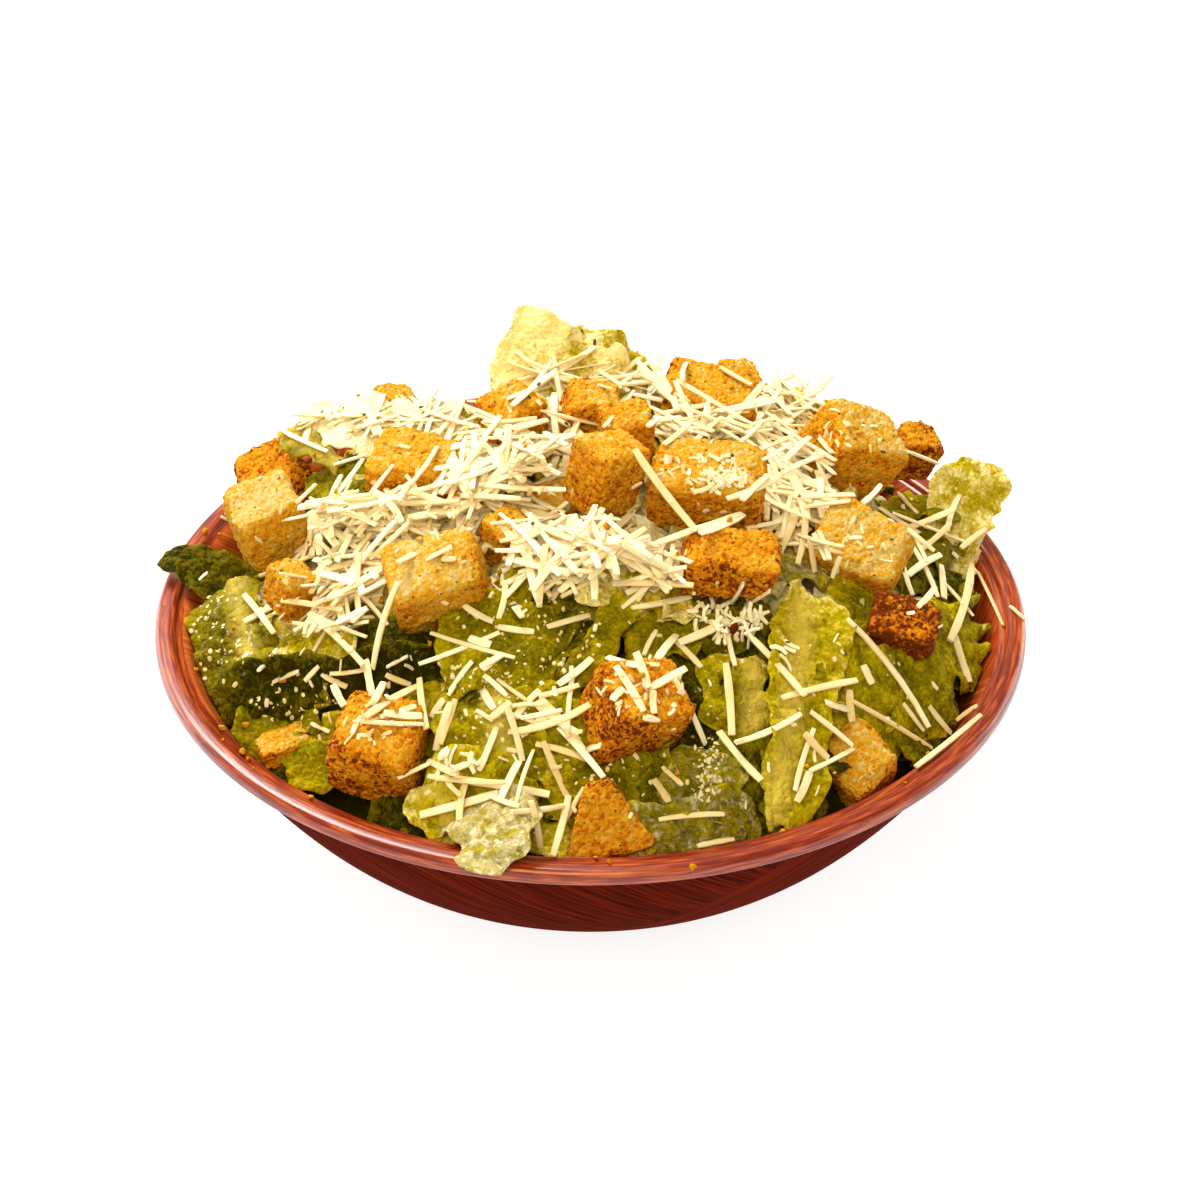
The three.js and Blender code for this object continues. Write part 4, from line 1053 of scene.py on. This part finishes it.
def placed(points, at, along, up):
    """Moves points whose length runs along X to a place, with X along `along` and Z near `up`."""
    along = unit(np.array(along, float))
    across = unit(np.cross(up, along))
    return points @ np.stack([along, across, np.cross(along, across)]) + np.array(at)


def cheese_material(settings):
    """Parmesan: a hard dry cheese, cut in strips by a drum shredder.

    It gives the eye waxy cream strips that glow where light enters them, a little deeper in tone in patches, and
    painted shade makes those that lie low deeper still.
    """
    material, tree = new_material("parmesan, shredded")
    place = add_node(tree, "TexCoord", out="Object")
    # patches of 5 mm, crystals of 0.6 mm
    patch = add_node(tree, "TexNoise", {"Vector": place, "Scale": 1 / (5 * MM), "Detail": 3})
    fresh = add_node(tree, "Attribute", out="Fac", attribute_name="fresh")
    share = add_node(tree, "Math", {0: patch, 1: 0.8, 2: fresh}, operation="MULTIPLY_ADD")
    share = add_node(tree, "MapRange", {0: share, 1: 0.55, 2: 1.3})
    tint = add_node(tree, "Mix", {0: share, 6: settings.deep, 7: settings.pale}, out=2, data_type="RGBA")
    grit = add_node(tree, "TexNoise", {"Vector": place, "Scale": 1 / (0.6 * MM), "Detail": 2})
    relief = add_node(tree, "Bump", {"Height": grit, "Strength": 0.5, "Distance": 0.2 * MM})
    shader = add_node(tree, "BsdfPrincipled", {
        "Base Color": tint, "Normal": relief, "Roughness": 0.5, "IOR": 1.45, "Specular IOR Level": 0.2,
        "Subsurface Weight": 0.35, "Subsurface Radius": (0.7, 0.55, 0.35), "Subsurface Scale": 1 * MM,
    })
    add_node(tree, "OutputMaterial", {0: shader})
    return material


# How high the strips of cheese may reach, how low they may lie, and how long one may be.
HIGHEST = 104
FLOOR_OF_HEAP = 46
LONGEST = 36.0

# How far out the cheese and the herbs are scattered.
CHEESE_REACH = 90
HERB_REACH = 84

# Where the cheese lies thick, in pixels of the camera's frame: the middle, the reach and the number of strips.
MATS = [
    ((380, 420), (80, 9), 20), ((395, 545), (95, 46), 190), ((330, 600), (60, 30), 40), ((480, 470), (60, 50), 100),
    ((590, 400), (90, 28), 130), ((560, 470), (60, 40), 60), ((690, 435), (75, 30), 80), ((780, 430), (55, 38), 100),
    ((800, 510), (50, 48), 100), ((610, 545), (100, 45), 200), ((720, 520), (60, 20), 30), ((500, 500), (50, 40), 60),
    ((560, 720), (40, 45), 7), ((930, 550), (45, 45), 7), ((500, 800), (60, 30), 3),
    ((700, 640), (60, 30), 5), ((595, 600), (400, 230), 14),
]

# The strips that catch the eye, by the pixels where their two ends show, and how far they bow.
Strip = namedtuple("Strip", "start_x start_y end_x end_y bow", defaults=[0.0])
STRIPS = {
    "left": [
        (245, 595, 275, 634), (282, 601, 343, 611), (296, 627, 327, 599), (311, 614, 365, 665), (336, 624, 367, 609),
        (348, 627, 368, 609), (357, 591, 388, 626), (261, 577, 311, 558), (284, 521, 313, 515), (296, 504, 316, 485),
        (300, 509, 323, 505), (329, 513, 393, 501), (311, 513, 338, 547), (320, 535, 321, 556), (324, 519, 342, 477),
        (338, 494, 363, 460), (334, 466, 367, 456), (399, 502, 410, 484), (366, 529, 385, 531), (353, 558, 371, 534),
        (338, 563, 352, 536), (282, 574, 327, 583), (304, 587, 327, 585), (320, 574, 354, 584), (321, 602, 354, 591),
        (396, 505, 460, 502), (410, 519, 466, 510), (374, 491, 404, 523, -0.3), (261, 671, 279, 650),
        (273, 683, 299, 672), (305, 682, 319, 667), (322, 675, 347, 688), (330, 675, 366, 671), (387, 668, 408, 657),
        (386, 676, 411, 686), (366, 661, 372, 696), (333, 686, 344, 707), (411, 486, 438, 448), (311, 724, 330, 733),
    ],
    "over the front left crouton": [
        (354, 572, 399, 519), (371, 560, 410, 524), (361, 595, 452, 548), (399, 563, 471, 530), (442, 560, 456, 560),
        (397, 583, 372, 670, 0.2), (464, 606, 479, 619),
    ],
    "top": [
        (452, 449, 471, 445), (475, 434, 473, 490), (461, 497, 521, 500), (505, 501, 548, 510), (479, 486, 566, 491),
        (516, 470, 544, 471), (512, 465, 544, 444), (526, 462, 571, 443), (507, 400, 532, 390), (512, 407, 555, 373),
        (540, 411, 596, 425), (562, 375, 612, 391), (598, 372, 629, 393), (604, 429, 634, 393), (632, 396, 698, 409),
        (682, 408, 752, 437), (686, 364, 682, 382), (720, 368, 751, 386), (664, 446, 693, 421), (634, 451, 693, 529),
    ],
    "middle": [
        (539, 526, 573, 541), (580, 534, 596, 507), (501, 515, 540, 553), (546, 546, 539, 608), (555, 544, 578, 574),
        (491, 580, 523, 618), (464, 607, 493, 623), (498, 628, 534, 633), (547, 628, 590, 616), (623, 546, 682, 576),
        (612, 584, 693, 586), (632, 609, 691, 598), (657, 544, 698, 529), (690, 532, 741, 515), (732, 604, 743, 584),
        (565, 576, 630, 516),
    ],
    "right": [
        (804, 424, 856, 398), (816, 436, 832, 454), (788, 439, 818, 460), (763, 461, 791, 444), (782, 474, 824, 455),
        (797, 499, 853, 496), (804, 508, 850, 502), (863, 504, 881, 486), (891, 514, 966, 544), (907, 530, 934, 552),
        (915, 538, 927, 563), (907, 452, 937, 464), (959, 549, 984, 530), (941, 566, 944, 599), (949, 642, 971, 567),
        (954, 636, 969, 683), (918, 608, 935, 588), (809, 538, 815, 573), (813, 535, 825, 561), (832, 579, 840, 558),
        (748, 635, 804, 696), (728, 636, 735, 667), (746, 529, 779, 523), (700, 535, 743, 516), (747, 605, 769, 592),
        (732, 602, 743, 586), (847, 618, 929, 727, -0.25), (863, 666, 872, 685), (903, 704, 924, 732),
        (928, 707, 950, 734),
    ],
    "over the rim": [
        (966, 560, 1007, 551), (978, 573, 1003, 626), (1010, 607, 1024, 620), (916, 768, 981, 716),
        (956, 721, 977, 706), (959, 706, 991, 671), (697, 847, 734, 840),
    ],
    "front left": [
        (431, 718, 444, 700), (436, 751, 451, 703), (441, 745, 456, 700), (448, 696, 472, 662), (479, 772, 497, 728),
        (429, 761, 458, 775), (451, 772, 469, 764), (447, 783, 461, 797), (398, 779, 430, 764), (428, 777, 505, 783),
        (372, 706, 384, 683), (380, 718, 416, 707), (363, 722, 424, 725), (384, 714, 422, 717), (420, 679, 427, 729),
        (352, 735, 361, 717), (366, 717, 418, 686),
    ],
    "front": [
        (483, 671, 499, 658), (469, 639, 491, 646), (480, 668, 503, 655), (484, 676, 507, 697), (497, 680, 526, 701),
        (482, 690, 494, 710), (491, 719, 511, 703), (476, 711, 493, 722), (509, 707, 543, 705), (521, 719, 562, 711),
        (539, 697, 579, 686), (508, 735, 591, 707, 0.3), (507, 707, 523, 762), (559, 728, 604, 778),
        (543, 742, 569, 801), (501, 799, 519, 762), (516, 803, 533, 751), (532, 801, 541, 847), (512, 812, 564, 806),
        (490, 797, 519, 807), (553, 857, 569, 797), (559, 833, 584, 788), (607, 658, 640, 667), (616, 667, 644, 712),
        (636, 653, 648, 688), (612, 701, 623, 689), (643, 719, 659, 721), (653, 692, 654, 714), (587, 751, 601, 746),
        (651, 689, 686, 669), (675, 679, 705, 744), (662, 767, 682, 785), (654, 780, 669, 803),
    ],
    "front right": [
        (657, 660, 676, 636), (679, 644, 729, 621), (726, 664, 732, 736), (718, 732, 760, 781),
        (735, 744, 801, 715, 0.2), (797, 803, 810, 773), (794, 791, 813, 729), (804, 734, 827, 759),
        (810, 712, 852, 746), (825, 703, 847, 710), (849, 691, 852, 723), (810, 772, 853, 750), (853, 702, 932, 749),
    ],
}

# Heaps of short curls and of broken ends, in pixels: the middle, the reach and the number.
CURLS = [
    ((722, 482), (24, 13), 26), ((728, 620), (36, 20), 52), ((455, 765), (26, 12), 10), ((780, 650), (10, 18), 5),
]
ENDS = [
    ((430, 520), (50, 18), 60), ((700, 470), (50, 18), 50), ((530, 480), (30, 20), 20), ((370, 730), (30, 15), 14),
    ((640, 690), (40, 30), 20), ((840, 430), (40, 30), 20), ((860, 540), (40, 30), 14), ((595, 600), (400, 230), 160),
]


def settled_strip(heap, rng, settings, place):
    """Finds how a strip rests over a place: its middle, the way it runs and its length, or None."""
    x, y = place[:2]
    drift = 40 if rng.uniform() < 0.5 - 0.004 * x else -45
    heading = math.radians(rng.normal(drift, 28 if rng.uniform() < 0.7 else 90))
    long = rng.uniform(settings.least, settings.most) / MM
    height, slope, gap, names = resting_line(heap, x, y, heading, long)
    steepest, widest = (0.8, 3.0) if rng.uniform() < 0.05 else (0.45, 1.6)
    if height < FLOOR_OF_HEAP or abs(slope) > steepest or gap > widest:
        return None
    on_toast = sum(name.startswith("toast") for name in names)
    if height + abs(slope) * long / 2 > HIGHEST or on_toast > (3 if rng.uniform() < 0.35 else 0):
        return None
    return np.array([x, y, height]), np.array([math.cos(heading), math.sin(heading), slope]), long


def shown_strip(heap, view, strip):
    """Lays a strip so that its ends show where they should: its middle, the way it runs and its length."""
    ways = [view.through(strip.start_x, strip.start_y), view.through(strip.end_x, strip.end_y)]
    found = [heap.cast(view.eye, way) for way in ways]
    far = [np.linalg.norm(end[0] - view.eye) if end else 1e9 for end in found]
    near = int(far[1] < far[0])
    if not found[near]:
        return None
    ends = [end[0] if end else view.eye + way * 1e4 for end, way in zip(found, ways)]
    longest = min(LONGEST, 4 + 1.9 * far[near] * np.linalg.norm(ways[1] - ways[0]))
    if np.linalg.norm(ends[1] - ends[0]) > longest:
        # the far end shows over a gap, so the strip follows the heap's skin there
        normal = skin_normal(*ends[near][:2])
        reach = (ends[near] - view.eye) @ normal / (ways[1 - near] @ normal)
        ends[1 - near] = view.eye + ways[1 - near] * reach
    # what would hide its middle lifts the strip towards the camera
    lift = 0.0
    for share in np.linspace(0.1, 0.9, 7):
        place = ends[0] + share * (ends[1] - ends[0])
        first = heap.cast(view.eye, unit(place - view.eye))
        if first:
            lift = max(lift, np.linalg.norm(place - view.eye) - np.linalg.norm(first[0] - view.eye))
    middle = (ends[0] + ends[1]) / 2 + view.back * min(lift, 4.0)
    along, long = unit(ends[1] - ends[0]), min(LONGEST, np.linalg.norm(ends[1] - ends[0]))
    rise = abs(along[2]) * long / 2
    if middle[2] + rise > HIGHEST or middle[2] - rise < FLOOR_OF_HEAP:
        return None
    return middle, along, long


class SALAD_OT_cheese(bpy.types.Operator):
    """Scatters the shredded parmesan, layer on layer"""
    bl_idname = "salad.cheese"
    bl_label = "Shredded cheese"

    def execute(self, context):
        settings = context.scene.salad_cheese
        rng = np.random.default_rng(5)
        wide, thick = settings.width / MM, settings.thickness / MM
        view, heap, piece = View(context), Heap(context), Piece()

        def lay(middle, along, long, bow):
            lean = rng.uniform(-0.3, 0.3, 2)
            up = skin_normal(*middle[:2]) + (lean[0], lean[1], 0.4)
            points, faces = strip_solid(
                long, wide * rng.uniform(0.55, 1.15), thick * rng.uniform(0.7, 1.2), bow, rng,
            )
            # painted shade: what lies low is deeper in tone, over a tone that differs at random
            fresh = 0.7 * rng.uniform() + 0.3 * min(1, max(0, (middle[2] - 60) / 20))
            piece.add(placed(points, middle + (0, 0, 0.4 * thick), along, up), faces, fresh=fresh)

        layers = 4
        for _ in range(layers):
            places = [*seen_in(heap, view, rng, MATS, settings.cover / layers)]
            places += unseen(heap, view, rng, round(settings.unseen / layers))
            for place, _, _ in places:
                tries = (settled_strip(heap, rng, settings, place) for _ in range(3))
                strip = next((found for found in tries if found), None)
                if strip:
                    lay(*strip, rng.choice([-1, 1]) * rng.uniform(0.02, 0.2))
            heap.add(piece)
        for group in STRIPS.values():
            for number, ends in enumerate(group):
                strip = Strip(*ends)
                found = shown_strip(heap, view, strip)
                if found:
                    lay(*found, strip.bow or rng.choice([-1, 1]) * rng.uniform(0.02, 0.12))
                if number % 6 == 5:
                    heap.add(piece)
            heap.add(piece)
        material = cheese_material(settings)
        piece.make("parmesan_shreds", [material], "romaine_leaf", ["romaine_heap"], sharp=50)
        bits = Piece()
        heap = Heap(context)
        for place, normal, _ in seen_in(heap, view, rng, CURLS):
            add_flat(bits, rng, place, normal, (2.5, 6), (0.7, 1.2), 0.5, bow=1.0, lift=1.2, fresh=0.9)
        ends = [*seen_in(heap, view, rng, ENDS), *unseen(heap, view, rng, settings.ends)]
        for place, normal, _ in ends:
            add_flat(bits, rng, place, normal, (0.8, 3.2), (0.4, 1.1), 0.4, fresh=rng.uniform())
        bits.make("parmesan_bits", [material], "romaine_leaf", ["romaine_heap"], sharp=50)
        return {"FINISHED"}


def along_surface(rng, normal):
    """A random way along a surface that faces along `normal`."""
    heading = rng.uniform(0, 2 * math.pi)
    return np.cross(normal, (math.sin(heading), math.cos(heading), 0.1))


def add_flat(piece, rng, place, normal, lengths, widths, thick, bow=0.3, lift=0.0, **values):
    """Lays one small strip flat on a place of the heap."""
    if place[2] < FLOOR_OF_HEAP:
        return
    tangent = along_surface(rng, normal) + normal * rng.uniform(0, 0.4) * lift
    at = place + normal * (thick * 0.3 + lift * rng.uniform(0, 1))
    points, faces = strip_solid(
        rng.uniform(*lengths), rng.uniform(*widths), thick, rng.choice([-1, 1]) * rng.uniform(0.1, 1) * bow, rng, 3,
    )
    piece.add(placed(points, at, tangent, normal), faces, **values)


# Single crumbs that lie apart, in pixels, with their size and their toast, and where the dressing spatters.
LONE_CRUMBS = [
    ((222, 729), 1.5, 0.3), ((223, 741), 1.0, 0.3), ((243, 753), 1.8, 0.3), ((311, 798), 1.1, 0.3),
    ((196, 671), 1.3, 0.3), ((693, 868), 1.4, 0.3), ((282, 682), 2.0, 0.5), ((430, 645), 1.4, 0.3),
    ((246, 727), 1.6, 0.2), ((707, 597), 2.4, 1.3), ((733, 630), 2.4, 1.4), ((718, 603), 1.8, 1.3),
]
SPATTER = [
    ((215, 635), (42, 48), 90), ((290, 702), (50, 20), 40), ((705, 768), (20, 34), 80), ((520, 838), (24, 16), 16),
    ((480, 700), (50, 45), 110), ((540, 640), (60, 40), 60), ((600, 770), (70, 40), 60),
    ((700, 600), (260, 130), 120), ((960, 500), (40, 50), 24),
]


class SALAD_OT_crumbs(bpy.types.Operator):
    """Scatters the crumbs, the dried herbs and the drops of dressing"""
    bl_idname = "salad.crumbs"
    bl_label = "Crumbs, herbs and dressing"

    def execute(self, context):
        settings = context.scene.salad_bread
        rng = np.random.default_rng(23)
        view, heap = View(context), Heap(context)
        crumbs, herbs, drops = Piece(), Piece(), Piece()
        lattice, faces = cube_lattice(2)
        grain = unit(lattice)

        def add_crumb(place, size, toast):
            jagged = grain * (1 + 0.35 * rng.uniform(-1, 1, (len(grain), 1))) * size / 2 * rng.uniform(0.7, 1.2, 3)
            crumbs.add(jagged + place + (0, 0, 0.3 * size), [faces], toast=toast, pit=0.0)

        for _ in range(settings.crumbs):
            # most crumbs lie round the croutons that shed them
            crouton = CROUTONS[rng.integers(len(CROUTONS))]
            found = heap.below(*(np.array(crouton.at[:2]) + rng.normal(0, 13, 2)))
            if found and found[0][2] > FLOOR_OF_HEAP:
                add_crumb(found[0], rng.uniform(0.6, 1.6), rng.uniform(0.1, 0.6))
        for pixel, size, toast in LONE_CRUMBS:
            found = heap.cast(view.eye, view.through(*pixel))
            if found:
                add_crumb(found[0], size, toast)
        for _ in range(settings.herbs):
            found = heap.below(*in_disc(rng, HERB_REACH))
            if found and found[1][2] > 0.25:
                add_flat(herbs, rng, found[0], found[1], (0.7, 1.6), (0.4, 0.8), 0.2)
        lattice, faces = cube_lattice(3)
        bead = unit(lattice)
        for place, normal, name in seen_in(heap, view, rng, SPATTER):
            if not name.startswith("romaine"):
                continue
            wide = rng.uniform(0.2, 0.75)
            smear = bead * (wide, wide * rng.uniform(0.35, 0.9), rng.uniform(0.08, 0.18))
            drops.add(placed(smear, place, along_surface(rng, normal), normal), [faces])
        crumbs.make("bread_crumbs", [bpy.data.materials[BREAD_NAME]], "toasted_bread", ["romaine_heap"])
        herbs.make("dried_herbs", [herb_material(settings)], "romaine_leaf", ["romaine_heap"])
        dressing = dressing_material(context.scene.salad_leaves)
        drops.make("dressing_drops", [dressing], "romaine_leaf", ["romaine_heap"])
        return {"FINISHED"}


def herb_material(settings):
    """Dried parsley and pepper: crushed dry flakes.

    They give the eye small dull dark specks.
    """
    material, tree = new_material("dried herbs, crushed")
    place = add_node(tree, "TexCoord", out="Object")
    # each flake of about 1 mm takes a tone of its own
    spots = add_node(tree, "TexNoise", {"Vector": place, "Scale": 1 / (4 * MM)})
    tint = add_node(tree, "ValToRGB", {0: spots}, stops=[(0.35, settings.deep_herb), (0.65, settings.pale_herb)])
    shader = add_node(tree, "BsdfPrincipled", {"Base Color": tint, "Roughness": 0.8})
    add_node(tree, "OutputMaterial", {0: shader})
    return material


def dressing_material(settings):
    """Caesar dressing: oil, egg and cheese whisked to a cream.

    It gives the eye soft wet cream drops, a little thinner and deeper in places.
    """
    material, tree = new_material("creamy dressing")
    place = add_node(tree, "TexCoord", out="Object")
    # thin and thick places 2 mm apart
    cloud = add_node(tree, "TexNoise", {"Vector": place, "Scale": 1 / (2 * MM), "Detail": 3})
    tint = add_node(tree, "ValToRGB", {0: cloud}, stops=[(0.3, settings.thin_dressing), (0.7, settings.dressing)])
    relief = add_node(tree, "Bump", {"Height": cloud, "Strength": 0.4, "Distance": 0.3 * MM})
    shader = add_node(tree, "BsdfPrincipled", {
        "Base Color": tint, "Normal": relief, "Roughness": 0.25, "IOR": 1.46,
        "Subsurface Weight": 0.2, "Subsurface Radius": (1.5, 1.1, 0.5), "Subsurface Scale": 1 * MM,
    })
    add_node(tree, "OutputMaterial", {0: shader})
    return material


# ---------------------------------------------------------------- the stage


class SALAD_OT_stage(bpy.types.Operator):
    """Sets the floor, the soft lights and the camera"""
    bl_idname = "salad.stage"
    bl_label = "Stage"

    def execute(self, context):
        scene, stage = context.scene, context.scene.salad_stage
        material, tree = new_material("matt paper")
        shader = add_node(tree, "BsdfPrincipled", {
            "Base Color": stage.floor, "Roughness": 0.9, "Specular IOR Level": 0.0,
            "Emission Color": (1, 1, 1, 1), "Emission Strength": stage.floor_glow,
        })
        add_node(tree, "OutputMaterial", {0: shader})
        mesh = bpy.data.meshes.new("floor")
        far = 6.0
        mesh.from_pydata([(x * far, y * far, 0) for x, y in ((-1, -1), (1, -1), (1, 1), (-1, 1))], [], [(0, 1, 2, 3)])
        mesh.materials.append(material)
        floor = bpy.data.objects.new("floor", mesh)
        scene.collection.objects.link(floor)
        floor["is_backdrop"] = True
        # each light's power, size and place in metres, and tint
        lights = [
            ("key", stage.key_power, 0.55, (-0.36, 0.52, 0.9), (1.0, 0.96, 0.91)),
            ("fill", stage.fill_power, 0.8, (-0.15, -0.85, 0.95), (1.0, 0.85, 0.5)),
            ("left", stage.side_power, 0.9, (-1.05, 0.75, 0.32), (1.0, 0.94, 0.9)),
            ("right", stage.side_power, 0.9, (1.05, 0.75, 0.32), (1.0, 0.94, 0.9)),
        ]
        target = Vector((0, 0, 0.06))
        for name, power, size, at, tint in lights:
            lamp = bpy.data.lights.new(name, "AREA")
            lamp.energy, lamp.size, lamp.color = power, size, tint
            holder = bpy.data.objects.new(name, lamp)
            holder.location = at
            holder.rotation_euler = (target - Vector(at)).to_track_quat("-Z", "Y").to_euler()
            scene.collection.objects.link(holder)
        world = bpy.data.worlds.new("pale room")
        world.use_nodes = True
        background = world.node_tree.nodes["Background"]
        background.inputs[0].default_value = (1, 0.88, 0.62, 1)
        background.inputs[1].default_value = stage.daylight
        scene.world = world
        scene.view_settings.view_transform = "Standard"
        lens = bpy.data.cameras.new("camera")
        lens.lens, lens.sensor_width = stage.lens, SENSOR
        lens.shift_x, lens.shift_y = FRAME_SHIFT
        lens.clip_start, lens.clip_end = 0.05, 20
        camera = bpy.data.objects.new("camera", lens)
        back = Vector((0, -math.cos(stage.elevation), math.sin(stage.elevation)))
        camera.location = Vector((0, 0, scene.salad_bowl.height)) + back * stage.distance
        camera.rotation_euler = (math.pi / 2 - stage.elevation, 0, 0)
        scene.collection.objects.link(camera)
        scene.camera = camera
        return {"FINISHED"}


# ---------------------------------------------------------------- the add-on

SETTINGS = {
    "salad_bowl": BowlSettings,
    "salad_leaves": LeafSettings,
    "salad_bread": BreadSettings,
    "salad_cheese": CheeseSettings,
    "salad_stage": StageSettings,
}
OPERATORS = [SALAD_OT_bowl, SALAD_OT_leaves, SALAD_OT_croutons, SALAD_OT_cheese, SALAD_OT_crumbs, SALAD_OT_stage]


class SALAD_PT_panel(bpy.types.Panel):
    """Lists the settings and the steps of the salad"""
    bl_idname = "SALAD_PT_panel"
    bl_label = "Caesar salad"
    bl_space_type = "VIEW_3D"
    bl_region_type = "UI"
    bl_category = "Salad"

    def draw(self, context):
        for name, group in SETTINGS.items():
            box = self.layout.box()
            for key in group.__annotations__:
                box.prop(getattr(context.scene, name), key)
        for operator in OPERATORS:
            self.layout.operator(operator.bl_idname)


def register():
    for group in (*SETTINGS.values(), *OPERATORS, SALAD_PT_panel):
        bpy.utils.register_class(group)
    for name, group in SETTINGS.items():
        setattr(bpy.types.Scene, name, bpy.props.PointerProperty(type=group))


def unregister():
    for name in SETTINGS:
        delattr(bpy.types.Scene, name)
    for group in (SALAD_PT_panel, *OPERATORS, *SETTINGS.values()):
        bpy.utils.unregister_class(group)


def main():
    register()
    for operator in OPERATORS:
        family, step = operator.bl_idname.split(".")
        getattr(getattr(bpy.ops, family), step)()
    boxes = {"cad": CAD_BOX, "visual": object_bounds()}
    {name: [list(corner) for corner in box] for name, box in boxes.items()}


if __name__ == "__main__":
    main()
